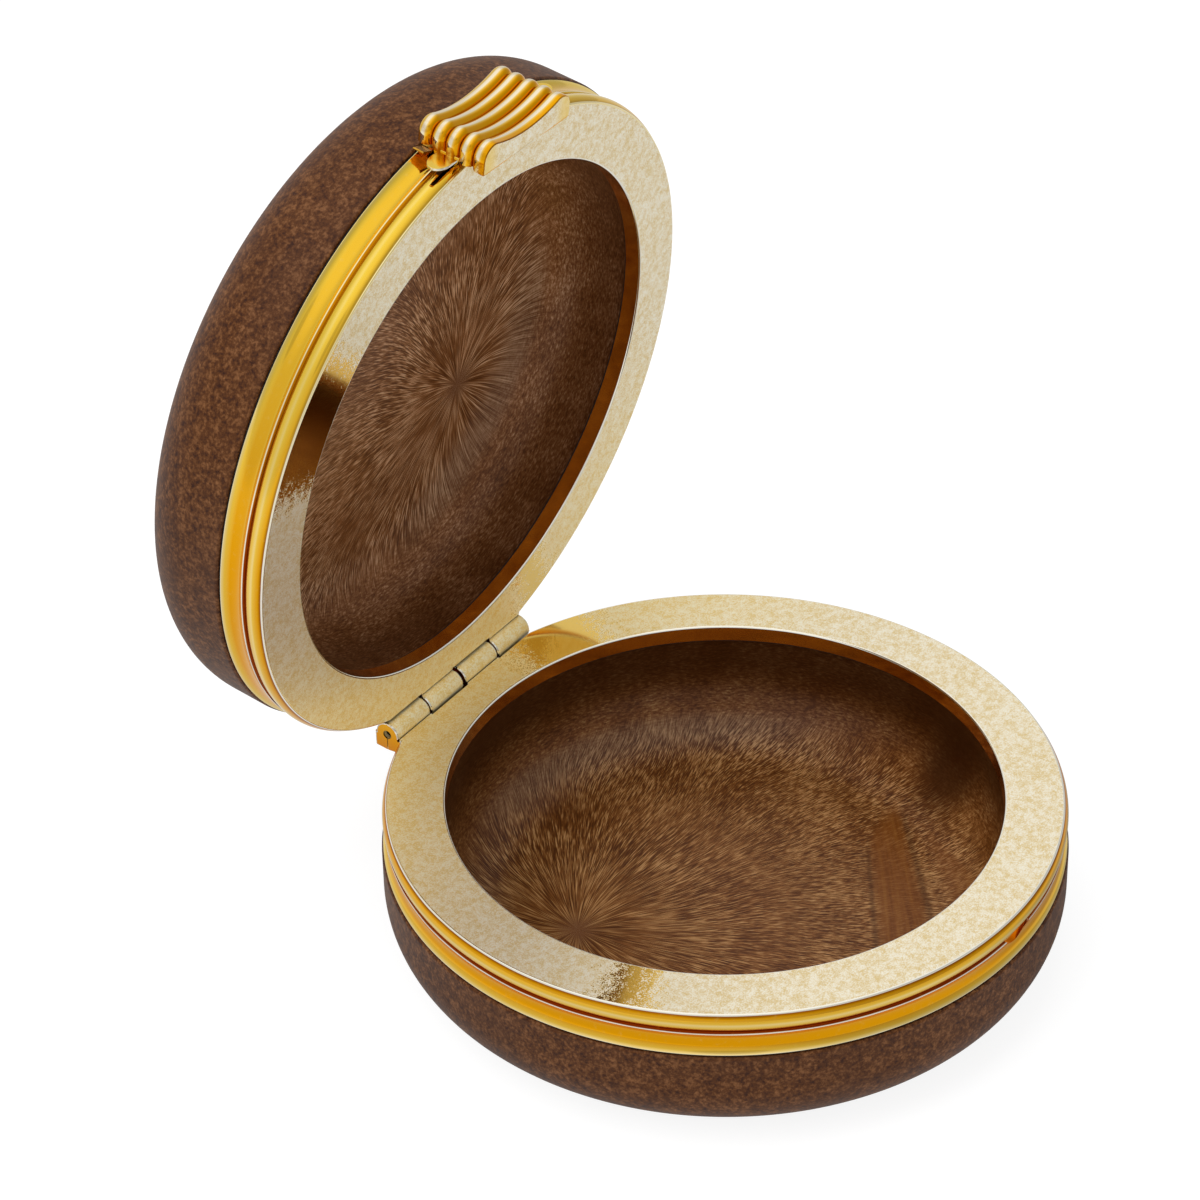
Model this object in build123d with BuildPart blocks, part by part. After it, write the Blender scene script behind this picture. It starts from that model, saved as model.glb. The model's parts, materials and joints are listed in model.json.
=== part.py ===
"""Round rosary case: two cast bowls with turned brass rims, a four-knuckle hinge and a fluted thumb clasp.

The case stands open on its flat bottom.  Millimetres, +Z up, -Y is the front where the catch is, +Y is
the hinge.  The origin is the centre of the flat bottom.  Both halves are made by the same functions, each
on its own face plane: the plane's Z points out of the half's mouth and its Y points at the hinge.
"""
import math
import os

from build123d import *

os.makedirs("parts", exist_ok=True)

# The two halves
MOUTH_R = 35.0           # clear radius of the opening
FACE_R = 42.5            # outer radius of the rim's flat face
SHELL_R = 43.2           # outside of a bowl
HALF_H = 21.2            # face to flat bottom
OPEN_ANGLE = 82.6        # how far the lid has turned from closed
FACE_GAP = 0.15          # between the two faces when the case is shut

# Rim ring, heights measured from the face
PLATE_T = 2.2            # thickness of the flat top plate
BAND_H = 5.9             # whole height of the rim
SKIRT_IN_R = 41.1        # inside of the hanging skirt
BEAD_R = 42.95           # crest of the bead below the face
BEAD_H = 2.6             # lower end of the bead
EDGE_R = 0.25            # rounding of the face's two edges
CREASE_R = 42.35         # crease between the bead and the lip below it
LIP_R = 42.75            # thin lip between crease and cove
LIP_TOP = 2.75
LIP_LOW = 2.9
COVE_R = 42.3            # deepest radius of the cove
COVE_H = 5.8             # lower end of the cove
FOOT_R = 43.0            # outer radius of the rim's lower edge

# Black bond line between rim and bowl
BOND_T = 0.3             # where it shows
BOND_SIDE = 0.15         # along the skirt
BOND_SET_BACK = 0.25     # how far it lies behind the surfaces

# Bowl
TONGUE_IN_R = 36.0       # mouth of the bowl, under the plate
WALL_IN_R = 36.4         # widest inside radius
FLOOR_H = 16.8           # face to inside floor
INNER_CORNER_R = 10.0
OUTER_CORNER_R = 9.1     # upper part of the outside corner
BELLY_R = 12.1           # lower part, down to the flat bottom
CORNER_TURN = 50.0       # where one passes into the other
SHOULDER_R = 0.35        # rounding of the bowl's upper edge

# Hinge
HINGE_Y = 42.15          # pin axis from the centre of the case
KNUCKLE_R = 1.45
KNUCKLE_L = 7.0
KNUCKLE_GAP = 0.15
MIDDLE_GAP = 0.5
KNUCKLE_BACK = 1.6       # flat back of a knuckle, from the pin axis
KNUCKLE_FOOT = 1.74      # flat bottom of a knuckle, from the pin axis
LEAF_FRONT = 2.1         # front end of the leaf let into the rim
NOTCH_FRONT = 1.8        # notch in the facing rim
NOTCH_DEEP = 1.62        # its floor stops the knuckle's back at the open angle
PIN_R = 0.5
PIN_PLAY = 0.03
PIN_RECESS = 0.6
SEAM_W = 0.12            # slit where the folded knuckle closes
KNUCKLE_EDGE_R = 0.12    # rounding of a knuckle's round ends

# Clasp, on the lid: s runs from the face into the lid, rho is the distance out from the lid's centre
PIVOT_S = 2.1
PIVOT_RHO = 43.5
ROCKER_R = 1.85
ROCKER_HALF_L = 10.5
ROCKER_CORNER_R = 2.4    # the bar's two front corners, seen from outside
TROUGH_PLAY = 0.08       # between the rocker bar and its trough in the rim
TROUGH_HALF_L = 10.8
FLUTES = 5
FLUTE_PITCH = 2.0
FLUTE_START_S = -3.5     # free edge, past the lid's face
FLUTE_TOP = 1.35         # from inner surface to crest
FLUTE_VALLEY = 0.6       # from inner surface to the groove
SADDLE_RHO = 43.95       # inner surface at the middle
CREST_RHO = 45.05        # inner surface at the two horns
HORN_R = 0.6
SIDE_X = 6.65            # inner face of the turned-down ends
END_RHO = 43.35          # lower edge of the turned-down ends
CHEEK_T = 0.75           # plate that closes the free edge
CHEEK_R = 43.3           # its lower edge runs round the base rim
WEB_S = 0.95             # half width of the web between rocker and thumb piece

# Hook and catch
HOOK_HALF_W = 1.9
HOOK_ROOT_RHO = 43.8     # top of the hook's leaf, behind the cheek
HOOK_KNEE_RHO = 43.15    # where the leaf turns under the cheek
HOOK_LEAF_T = 0.5
HOOK_TIP_RHO = 42.4
HOOK_TIP_W = 0.2
HOOK_TIP_BEVEL = 0.15
HOOK_PLAY = 0.25         # between the hook and the pocket's upper edge
CATCH_HALF_W = 2.75
CATCH_TOP = 2.6          # upper edge of the pocket, from the base's face
CATCH_LOW = 4.3          # lowest point of its curved edge
CATCH_FLOOR_R = 41.9

# Leaf spring under the rear flutes
SPRING_S = 5.15
SPRING_W = 1.5
SPRING_T = 0.25
SPRING_SEAT = 0.02       # solder between the spring and the rim
SPRING_HALF_X = 8.0      # where the tips leave the rim
SPRING_TIP_X = 9.6
SPRING_TIP_RHO = 43.0

# Spring slots cut beside the clasp
SLOT_S = 1.2
SLOT_W = 0.5
SLOT_FLOOR_RHO = 41.2
SLOT_START_X = 7.6
SLOT_END_X = 13.0

BASE_FACE = Plane(origin=(0, 0, HALF_H), x_dir=(1, 0, 0), z_dir=(0, 0, 1))
PIN = Vector(0, HINGE_Y, HALF_H + FACE_GAP / 2)


def lid_face_plane():
    """The lid's face plane once the lid has turned back by the open angle."""
    turn = math.radians(OPEN_ANGLE)
    out_of_mouth = Vector(0, -math.sin(turn), -math.cos(turn))
    to_hinge = Vector(0, math.cos(turn), -math.sin(turn))
    centre = PIN - to_hinge * HINGE_Y - out_of_mouth * (FACE_GAP / 2)
    return Plane(origin=centre, x_dir=(-1, 0, 0), z_dir=out_of_mouth)


LID_FACE = lid_face_plane()


def section(face):
    """Half-section plane of one half: X is the radius, Y the height out of the mouth."""
    return Plane(origin=face.origin, x_dir=face.x_dir, z_dir=-face.y_dir)


def turning_axis(face):
    """Axis of the round pieces of one half."""
    return Axis(face.origin, face.z_dir)


def hinge_side(face, along):
    """Plane across the pin at a place along it: X points back, Y out of the mouth."""
    return Plane(origin=PIN, x_dir=face.y_dir, z_dir=face.x_dir).offset(along)


def front_view(face, s):
    """Plane seen from the mouth: X along the pin, Y out towards the clasp, Z into the half."""
    return Plane(origin=face.origin, x_dir=face.x_dir, z_dir=-face.z_dir).offset(s)


def clasp_side(face):
    """Plane across the middle of the clasp: X runs into the half, Y outwards."""
    return Plane(origin=face.origin, x_dir=-face.z_dir, z_dir=-face.x_dir)


def clasp_plan(face):
    """Plane on the rocker bar's flat top: X along the pin, Y into the half, Z towards the centre."""
    middle = face.from_local_coords((0, -PIVOT_RHO, 0))
    return Plane(origin=middle, x_dir=face.x_dir, z_dir=face.y_dir)


# Knuckles sit in the order base, lid, base, lid.  The lid is the same half turned round, so both halves
# carry theirs at the same two places of their own plane.
INNER_X = MIDDLE_GAP / 2 + KNUCKLE_L / 2
OUTER_X = INNER_X + KNUCKLE_L + KNUCKLE_GAP
OWN_X = (-OUTER_X, INNER_X)
FACING_X = (-INNER_X, OUTER_X)
NOTCH_L = KNUCKLE_L + 2 * KNUCKLE_GAP
REACH = 4.0              # how far cutting shapes run past the surfaces


def rim_ring(face):
    """Turned brass ring: flat plate with a hanging skirt, and the cuts for the hinge."""
    with BuildPart() as ring:
        with BuildSketch(section(face)):
            with BuildLine():
                Line((MOUTH_R, -PLATE_T), (MOUTH_R, -EDGE_R))
                JernArc((MOUTH_R, -EDGE_R), (0, 1), EDGE_R, -90)
                Line((MOUTH_R + EDGE_R, 0), (FACE_R - EDGE_R, 0))
                JernArc((FACE_R - EDGE_R, 0), (1, 0), EDGE_R, -90)
                ThreePointArc((FACE_R, -EDGE_R), (BEAD_R, -(EDGE_R + BEAD_H) / 2), (CREASE_R, -BEAD_H))
                Polyline((CREASE_R, -BEAD_H), (LIP_R, -LIP_TOP), (LIP_R, -LIP_LOW))
                ThreePointArc((LIP_R, -LIP_LOW), (COVE_R, -(LIP_LOW + COVE_H) / 2), (FOOT_R, -COVE_H))
                Polyline(
                    (FOOT_R, -COVE_H),
                    (FOOT_R, -BAND_H),
                    (SKIRT_IN_R, -BAND_H),
                    (SKIRT_IN_R, -PLATE_T),
                    (MOUTH_R, -PLATE_T),
                )
            make_face()
        revolve(axis=turning_axis(face))
        for along in OWN_X:
            with BuildSketch(hinge_side(face, along)):
                with Locations((-LEAF_FRONT, -KNUCKLE_FOOT)):
                    Rectangle(LEAF_FRONT + REACH, REACH, align=(Align.MIN, Align.MIN))
            extrude(amount=KNUCKLE_L / 2, both=True, mode=Mode.SUBTRACT)
        for along, length in ((FACING_X[0], NOTCH_L), (0, MIDDLE_GAP), (FACING_X[1], NOTCH_L)):
            with BuildSketch(hinge_side(face, along)):
                with Locations((-NOTCH_FRONT, -NOTCH_DEEP)):
                    Rectangle(NOTCH_FRONT + REACH, REACH, align=(Align.MIN, Align.MIN))
            extrude(amount=length / 2, both=True, mode=Mode.SUBTRACT)
    return ring.part


def bond_line(face):
    """Thin black layer under the plate, down inside the skirt and out to the foot."""
    side_r = SKIRT_IN_R - BOND_SIDE
    with BuildPart() as bond:
        with BuildSketch(section(face)):
            with BuildLine():
                Polyline(
                    (MOUTH_R + BOND_SET_BACK, -PLATE_T),
                    (SKIRT_IN_R, -PLATE_T),
                    (SKIRT_IN_R, -BAND_H),
                    (FOOT_R - BOND_SET_BACK, -BAND_H),
                    (FOOT_R - BOND_SET_BACK, -BAND_H - BOND_T),
                    (side_r, -BAND_H - BOND_T),
                    (side_r, -PLATE_T - BOND_T),
                    (MOUTH_R + BOND_SET_BACK, -PLATE_T - BOND_T),
                    close=True,
                )
            make_face()
        revolve(axis=turning_axis(face))
    return bond.part


def bowl(face):
    """Cast bowl: a tongue that fills the rim, a swelling outside and a round-cornered inside."""
    tongue_r = SKIRT_IN_R - BOND_SIDE
    tongue_top = -PLATE_T - BOND_T
    shoulder = -BAND_H - BOND_T
    turn = math.radians(CORNER_TURN)
    corner_drop = OUTER_CORNER_R * math.sin(turn) + BELLY_R * (1 - math.sin(turn))
    corner_top = -HALF_H + corner_drop
    wall_foot = -FLOOR_H + INNER_CORNER_R
    with BuildPart() as shell:
        with BuildSketch(section(face)):
            with BuildLine():
                Polyline(
                    (TONGUE_IN_R, tongue_top),
                    (tongue_r, tongue_top),
                    (tongue_r, shoulder),
                    (SHELL_R - SHOULDER_R, shoulder),
                )
                JernArc((SHELL_R - SHOULDER_R, shoulder), (1, 0), SHOULDER_R, -90)
                Line((SHELL_R, shoulder - SHOULDER_R), (SHELL_R, corner_top))
                upper = JernArc((SHELL_R, corner_top), (0, -1), OUTER_CORNER_R, -CORNER_TURN)
                lower = JernArc(upper @ 1, upper % 1, BELLY_R, CORNER_TURN - 90)
                Line(lower @ 1, (0, -HALF_H))
                Line((0, -HALF_H), (0, -FLOOR_H))
                Line((0, -FLOOR_H), (WALL_IN_R - INNER_CORNER_R, -FLOOR_H))
                JernArc((WALL_IN_R - INNER_CORNER_R, -FLOOR_H), (1, 0), INNER_CORNER_R, 90)
                Line((WALL_IN_R, wall_foot), (TONGUE_IN_R, tongue_top))
            make_face()
        revolve(axis=turning_axis(face))
    return shell.part


def knuckle(face, along):
    """One folded knuckle: round over the pin, flat at the back and the bottom, seam below the pin."""
    top_of_leaf = -FACE_GAP / 2
    with BuildPart() as piece:
        with BuildSketch(hinge_side(face, along)):
            Circle(KNUCKLE_R)
            with Locations((-LEAF_FRONT, -KNUCKLE_FOOT)):
                Rectangle(
                    LEAF_FRONT + KNUCKLE_BACK,
                    KNUCKLE_FOOT + top_of_leaf,
                    align=(Align.MIN, Align.MIN),
                )
            Circle(PIN_R + PIN_PLAY, mode=Mode.SUBTRACT)
            with Locations((0, -PIN_R)):
                Rectangle(SEAM_W, KNUCKLE_FOOT, align=(Align.CENTER, Align.MAX), mode=Mode.SUBTRACT)
        extrude(amount=KNUCKLE_L / 2, both=True)
        ends = piece.edges().filter_by(GeomType.CIRCLE).filter_by(lambda edge: edge.radius > 1.0)
        fillet(ends, KNUCKLE_EDGE_R)
    return piece.part


def export(piece, name):
    """Label one finished piece and write it under its own name."""
    piece.label = name
    export_step(piece, f"parts/{name}.step")
    print(f"{name}: {piece.volume:.1f} mm3, {len(piece.solids())} solid")


# Base half
with BuildPart() as base_rim:
    add(rim_ring(BASE_FACE))
    # The pocket's window: straight along the bead, curved below.
    with BuildSketch(Plane(origin=(0, -CATCH_FLOOR_R, HALF_H), x_dir=(1, 0, 0), z_dir=(0, -1, 0))):
        with BuildLine():
            Line((-CATCH_HALF_W, -CATCH_TOP), (CATCH_HALF_W, -CATCH_TOP))
            ThreePointArc((CATCH_HALF_W, -CATCH_TOP), (0, -CATCH_LOW), (-CATCH_HALF_W, -CATCH_TOP))
        make_face()
    extrude(amount=REACH, mode=Mode.SUBTRACT)
export(base_rim.part, "base_rim")
export(bond_line(BASE_FACE), "base_bond")
export(bowl(BASE_FACE), "base_shell")


# Lid half
with BuildPart() as lid_rim:
    add(rim_ring(LID_FACE))
    with BuildSketch(clasp_side(LID_FACE)):
        with Locations((PIVOT_S, PIVOT_RHO)):
            Circle(ROCKER_R + TROUGH_PLAY)
    extrude(amount=TROUGH_HALF_L, both=True, mode=Mode.SUBTRACT)
    with BuildSketch(front_view(LID_FACE, SLOT_S - SLOT_W / 2)):
        for side in (-1, 1):
            middle_x = side * (SLOT_START_X + SLOT_END_X) / 2
            with Locations((middle_x, SLOT_FLOOR_RHO)):
                Rectangle(SLOT_END_X - SLOT_START_X, REACH, align=(Align.CENTER, Align.MIN))
    extrude(amount=SLOT_W, mode=Mode.SUBTRACT)
export(lid_rim.part, "lid_rim")
export(bond_line(LID_FACE), "lid_bond")
export(bowl(LID_FACE), "lid_shell")


# Hinge
for number, face, along in (
    (1, BASE_FACE, OWN_X[0]),
    (2, LID_FACE, OWN_X[1]),
    (3, BASE_FACE, OWN_X[1]),
    (4, LID_FACE, OWN_X[0]),
):
    export(knuckle(face, along), f"hinge_knuckle_{number}")

with BuildPart() as hinge_pin:
    with BuildSketch(hinge_side(BASE_FACE, 0)):
        Circle(PIN_R)
    extrude(amount=OUTER_X + KNUCKLE_L / 2 - PIN_RECESS, both=True)
export(hinge_pin.part, "hinge_pin")


# Clasp.  The inner line of the thumb piece, seen from the mouth: up one end, round a horn, through the
# saddle, round the other horn and down.  The saddle's arc touches both horns.
horn_x = SIDE_X - HORN_R
horn_y = CREST_RHO - HORN_R
dip = horn_y - SADDLE_RHO
SADDLE_R = (horn_x**2 + dip**2 - HORN_R**2) / (2 * (HORN_R + dip))
saddle_half = math.degrees(math.atan2(horn_x, SADDLE_R - dip))


def thumb_path(low):
    """Draw the inner line from a given height of the two ends; for use inside a line builder."""
    up = Line((-SIDE_X, low), (-SIDE_X, horn_y))
    left = JernArc(up @ 1, (0, 1), HORN_R, -90 - saddle_half)
    saddle = JernArc(left @ 1, left % 1, SADDLE_R, 2 * saddle_half)
    right = JernArc(saddle @ 1, saddle % 1, HORN_R, -90 - saddle_half)
    return Line(right @ 1, (SIDE_X, low))


def fluted_section(plane):
    """Section across the flutes: flat below, one round crest for each flute."""
    free_edge = -FLUTE_START_S
    rear_edge = free_edge - FLUTES * FLUTE_PITCH
    with BuildSketch(plane) as flutes:
        with BuildLine():
            Polyline((free_edge, FLUTE_VALLEY), (free_edge, 0), (rear_edge, 0), (rear_edge, FLUTE_VALLEY))
            for index in range(FLUTES):
                start = rear_edge + index * FLUTE_PITCH
                ThreePointArc(
                    (start, FLUTE_VALLEY),
                    (start + FLUTE_PITCH / 2, FLUTE_TOP),
                    (start + FLUTE_PITCH, FLUTE_VALLEY),
                )
        make_face()
    return flutes.sketch


with BuildPart() as clasp_thumb_piece:
    with BuildLine(front_view(LID_FACE, 0)) as thumb_line:
        thumb_path(END_RHO)
    foot = front_view(LID_FACE, 0).from_local_coords((-SIDE_X, END_RHO, 0))
    across = Plane(origin=foot, x_dir=LID_FACE.z_dir, z_dir=-LID_FACE.y_dir)
    sweep(sections=fluted_section(across), path=thumb_line.line)
    # Cheek that closes the free edge, down to the arc that clears the base rim.
    cheek_end = math.sqrt(CHEEK_R**2 - SIDE_X**2)
    with BuildSketch(front_view(LID_FACE, FLUTE_START_S)):
        with BuildLine():
            thumb_path(cheek_end)
            ThreePointArc((SIDE_X, cheek_end), (0, CHEEK_R), (-SIDE_X, cheek_end))
        make_face()
    extrude(amount=CHEEK_T)
    # The turned-down ends are cut away where they sit on the rocker bar.
    with BuildSketch(clasp_side(LID_FACE)):
        with Locations((PIVOT_S, PIVOT_RHO)):
            Rectangle(2 * ROCKER_R + 0.1, REACH, align=(Align.CENTER, Align.MAX))
    extrude(amount=SIDE_X + REACH, both=True, mode=Mode.SUBTRACT)
export(clasp_thumb_piece.part, "clasp_thumb_piece")

with BuildPart() as clasp_rocker:
    with BuildSketch(clasp_side(LID_FACE)):
        with BuildLine():
            Line((PIVOT_S - ROCKER_R, PIVOT_RHO), (PIVOT_S + ROCKER_R, PIVOT_RHO))
            JernArc((PIVOT_S + ROCKER_R, PIVOT_RHO), (0, -1), ROCKER_R, -180)
        make_face()
    extrude(amount=ROCKER_HALF_L, both=True)
    # Seen from outside, the bar's front corners are round.
    rear_s = PIVOT_S + ROCKER_R
    with BuildSketch(clasp_plan(LID_FACE)):
        with Locations((0, rear_s)):
            Rectangle(2 * ROCKER_HALF_L, 2 * ROCKER_R, align=(Align.CENTER, Align.MAX))
        front_corners = vertices().sort_by(Axis.Y)[:2]
        fillet(front_corners, ROCKER_CORNER_R)
    extrude(amount=REACH, mode=Mode.INTERSECT)
    with BuildSketch(front_view(LID_FACE, PIVOT_S - WEB_S)):
        with BuildLine():
            thumb_path(PIVOT_RHO)
            Line((SIDE_X, PIVOT_RHO), (-SIDE_X, PIVOT_RHO))
        make_face()
    extrude(amount=2 * WEB_S)
export(clasp_rocker.part, "clasp_rocker")

with BuildPart() as latch_hook:
    back_s = FLUTE_START_S + CHEEK_T
    hook_top = -CATCH_TOP - HOOK_PLAY
    with BuildSketch(clasp_side(LID_FACE)):
        with BuildLine():
            Polyline(
                (back_s, HOOK_ROOT_RHO),
                (back_s + HOOK_LEAF_T, HOOK_ROOT_RHO),
                (back_s + HOOK_LEAF_T, HOOK_KNEE_RHO),
                (hook_top, HOOK_TIP_RHO + HOOK_TIP_BEVEL),
                (hook_top - HOOK_TIP_BEVEL, HOOK_TIP_RHO),
                (hook_top - HOOK_TIP_BEVEL - HOOK_TIP_W, HOOK_TIP_RHO),
                (FLUTE_START_S, HOOK_KNEE_RHO),
                (back_s, HOOK_KNEE_RHO),
                close=True,
            )
        make_face()
    extrude(amount=HOOK_HALF_W, both=True)
export(latch_hook.part, "latch_hook")

with BuildPart() as clasp_spring:
    spring_r = FOOT_R + SPRING_SEAT + SPRING_T / 2
    bend = math.degrees(math.asin(SPRING_HALF_X / spring_r))
    with BuildSketch(front_view(LID_FACE, SPRING_S - SPRING_W / 2)):
        with BuildLine():
            leaf = CenterArc((0, 0), spring_r, 90 - bend, 2 * bend)
            Line(leaf @ 1, (-SPRING_TIP_X, SPRING_TIP_RHO))
            Line(leaf @ 0, (SPRING_TIP_X, SPRING_TIP_RHO))
            offset(amount=SPRING_T / 2, kind=Kind.ARC)
        make_face()
    extrude(amount=SPRING_W)
export(clasp_spring.part, "clasp_spring")
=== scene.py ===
"""Looks of the round rosary case: turned gold rims, streaked resin bowls, a knuckle hinge and a fluted clasp.

Sizes are in millimetres until a mesh is written, which is in metres.  Each half of the case is described in
its own frame: x along the hinge pin, y towards the hinge, z out of the mouth, with the origin at the centre
of its flat face.  A Place carries such points to where that half stands.
"""
import json
import logging
import math
from dataclasses import dataclass, field
from enum import Enum
from typing import Callable, Sequence

import bpy
import numpy as np
from mathutils import Matrix

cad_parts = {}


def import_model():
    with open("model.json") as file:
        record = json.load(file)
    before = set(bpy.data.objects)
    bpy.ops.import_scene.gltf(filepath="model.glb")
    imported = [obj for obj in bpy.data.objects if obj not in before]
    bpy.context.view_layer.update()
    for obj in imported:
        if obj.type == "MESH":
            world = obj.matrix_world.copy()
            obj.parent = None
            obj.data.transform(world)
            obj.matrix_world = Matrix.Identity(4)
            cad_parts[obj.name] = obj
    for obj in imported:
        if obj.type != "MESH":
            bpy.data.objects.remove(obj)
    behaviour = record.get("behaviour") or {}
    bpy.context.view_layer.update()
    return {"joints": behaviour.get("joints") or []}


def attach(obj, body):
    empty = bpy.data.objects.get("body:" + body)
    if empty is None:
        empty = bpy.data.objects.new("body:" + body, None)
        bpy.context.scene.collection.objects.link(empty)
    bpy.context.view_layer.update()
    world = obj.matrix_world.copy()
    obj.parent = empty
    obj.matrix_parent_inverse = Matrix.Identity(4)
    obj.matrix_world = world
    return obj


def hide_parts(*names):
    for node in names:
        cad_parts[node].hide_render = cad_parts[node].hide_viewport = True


MM = 0.001
NEAR = 1e-6
# The rise of an arc over a quarter turn, as a share of its radius: 1 - cos(45 degrees).
QUARTER_RISE = 0.29289
# Rows of the thumb piece's sheet in each of its straight ends.
END_ROWS = 8
LOG = logging.getLogger("rosary_case")
Array = np.ndarray
Pair = tuple[float, float]
Triple = tuple[float, float, float]
Colour = tuple[float, float, float, float]
Material = bpy.types.Material
Piece = bpy.types.Object
Socket = bpy.types.NodeSocket

class Zone(Enum):
    """Parts of a piece that get different materials; the numbers are material slots.  PAINTED_SHADE is dark
    gold painted as shade and EDGE near-white gold painted as a highlight.
    """

    FACE = 0
    SIDE = 1
    PAINTED_SHADE = 2
    EDGE = 3


@dataclass(frozen=True)
class Place:
    """Where one half stands.

    Args:
        centre: centre of the half's flat face, in the row frame.
        axes: three rows, the half's x, y and z directions.
    """

    centre: Array
    axes: Array

    def put(self, local: Array) -> Array:
        """Carry local points to the row frame: centre plus each coordinate times its direction."""
        return self.centre + local @ self.axes


@dataclass
class Shape:
    """A mesh in the making.

    Args:
        points: local points, one row each.
        faces: index lists, all pointing the same way round.
        zones: material slot of each face.
    """

    points: Array
    faces: list[list[int]]
    zones: list[int] = field(default_factory=list)

    def joined(self, other: "Shape") -> "Shape":
        """Put this shape and another one in a single mesh.

        Args:
            other: the shape that comes second.

        Returns:
            Both together.
        """
        start = len(self.points)
        moved = [[index + start for index in face] for face in other.faces]
        zones = (self.zones or [0] * len(self.faces)) + (other.zones or [0] * len(other.faces))
        return Shape(np.vstack([self.points, other.points]), self.faces + moved, zones)

    def swapped(self, order: list[int], signs: tuple[int, int, int] = (1, 1, 1)) -> "Shape":
        """The shape with its coordinates put in another order and then multiplied by signs."""
        return Shape(self.points[:, order] * signs, self.faces, self.zones)

    def outward(self) -> "Shape":
        """The shape with its faces outwards: turned round where its volume comes out negative."""
        inside_out = signed_volume(self.points, self.faces) < 0
        return Shape(self.points, [face[::-1] for face in self.faces], self.zones) if inside_out else self


def line(start: Pair, end: Pair, hold: float = 0.04) -> Array:
    """A straight run with one extra point close to each end, so that shading stays flat between them.

    Args:
        start: first point.
        end: last point.
        hold: distance of the extra points from the ends.

    Returns:
        The points, one row each.
    """
    a, b = np.array(start, float), np.array(end, float)
    length = float(np.linalg.norm(b - a))
    if length < 3 * hold:
        return np.stack([a, b])
    share = np.array([0.0, hold / length, 1 - hold / length, 1.0])[:, None]
    return a + (b - a) * share


def bow(start: Pair, end: Pair, rise: float, steps: int = 10) -> Array:
    """A circular arc between two points.

    With half chord c and rise h the radius is (c*c + h*h) / (2*h).  A positive rise bows to the left of the
    way from start to end.

    Args:
        start: first point.
        end: last point.
        rise: height of the arc over its chord.
        steps: number of spans.

    Returns:
        The points, one row each.
    """
    a, b = np.array(start, float), np.array(end, float)
    half = float(np.linalg.norm(b - a)) / 2
    radius = (half**2 + rise**2) / (2 * abs(rise))
    along = (b - a) / (2 * half)
    left = np.array([-along[1], along[0]]) * math.copysign(1, rise)
    centre = (a + b) / 2 + left * (abs(rise) - radius)
    reach = math.atan2(half, radius - abs(rise))
    angle = np.linspace(-reach, reach, steps + 1)[:, None]
    return centre + radius * (np.cos(angle) * left + np.sin(angle) * along)


def arc(radius: float, start: float, end: float, count: int) -> Array:
    """Points on a circle about the origin: (r cos a, r sin a).

    Args:
        radius: radius of the circle.
        start: angle of the first point.
        end: angle of the last point.
        count: number of points.

    Returns:
        The points, one row each.
    """
    angle = np.linspace(start, end, count)[:, None]
    return radius * np.hstack([np.cos(angle), np.sin(angle)])


def chain(*runs: Array | Sequence[Pair]) -> Array:
    """Join runs end to end, leaving out a point that repeats the one before it.

    Args:
        runs: points, one row each.

    Returns:
        All the points.
    """
    points = np.vstack(runs)
    step = np.linalg.norm(np.diff(points, axis=0), axis=1)
    return points[np.concatenate([[True], step > NEAR])]


def loop_faces(rows: int, columns: int, wrap_rows: bool, wrap_columns: bool) -> list[list[int]]:
    """Quads over a grid of rows by columns, numbered row by row.

    Args:
        rows: number of rows.
        columns: number of points in a row.
        wrap_rows: whether the last row joins the first.
        wrap_columns: whether each row is a closed ring.

    Returns:
        One list of four indices for each quad.
    """
    i = np.arange(rows if wrap_rows else rows - 1)[:, None]
    j = np.arange(columns if wrap_columns else columns - 1)[None, :]
    i2, j2 = (i + 1) % rows, (j + 1) % columns
    quads = np.stack([i * columns + j, i2 * columns + j, i2 * columns + j2, i * columns + j2], axis=-1)
    return quads.reshape(-1, 4).tolist()


def tube_faces(rows: int, columns: int) -> list[list[int]]:
    """Quads over a row of closed rings, and one face across each end.

    Args:
        rows: number of rings.
        columns: number of points in a ring.

    Returns:
        The faces, all pointing the same way round.
    """
    ends = [list(range(columns)), list(range((rows - 1) * columns, rows * columns))[::-1]]
    return loop_faces(rows, columns, False, True) + ends


def lathe(outline: Array, segments: int) -> Shape:
    """Turn a closed outline of (radius, height) about z: x = r cos a, y = r sin a, z = h.

    Args:
        outline: the closed outline.  Points on the axis become one pole each.
        segments: number of steps round the axis.

    Returns:
        The turned shape.
    """
    angle = np.linspace(0, 2 * np.pi, segments, endpoint=False)[:, None]
    on_axis = outline[:, 0] < NEAR
    ring = outline[~on_axis]
    radius, height = ring[None, :, 0], ring[None, :, 1] + 0 * angle
    grid = np.stack([radius * np.cos(angle), radius * np.sin(angle), height], axis=-1)
    columns = len(ring)
    points = grid.reshape(-1, 3)
    if not on_axis.any():
        return Shape(points, loop_faces(segments, columns, True, True))
    faces = loop_faces(segments, columns, True, False)
    poles = np.stack([0 * outline[on_axis, 0], 0 * outline[on_axis, 0], outline[on_axis, 1]], axis=-1)
    around = np.arange(segments)
    ahead = (around + 1) % segments
    for number, column in ((0, 0), (1, columns - 1)):
        pole = np.full(segments, len(points) + number)
        edge, next_edge = around * columns + column, ahead * columns + column
        fan = (next_edge, edge, pole) if number == 0 else (edge, next_edge, pole)
        faces += np.stack(fan, axis=-1).tolist()
    return Shape(np.vstack([points, poles]), faces)


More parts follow.
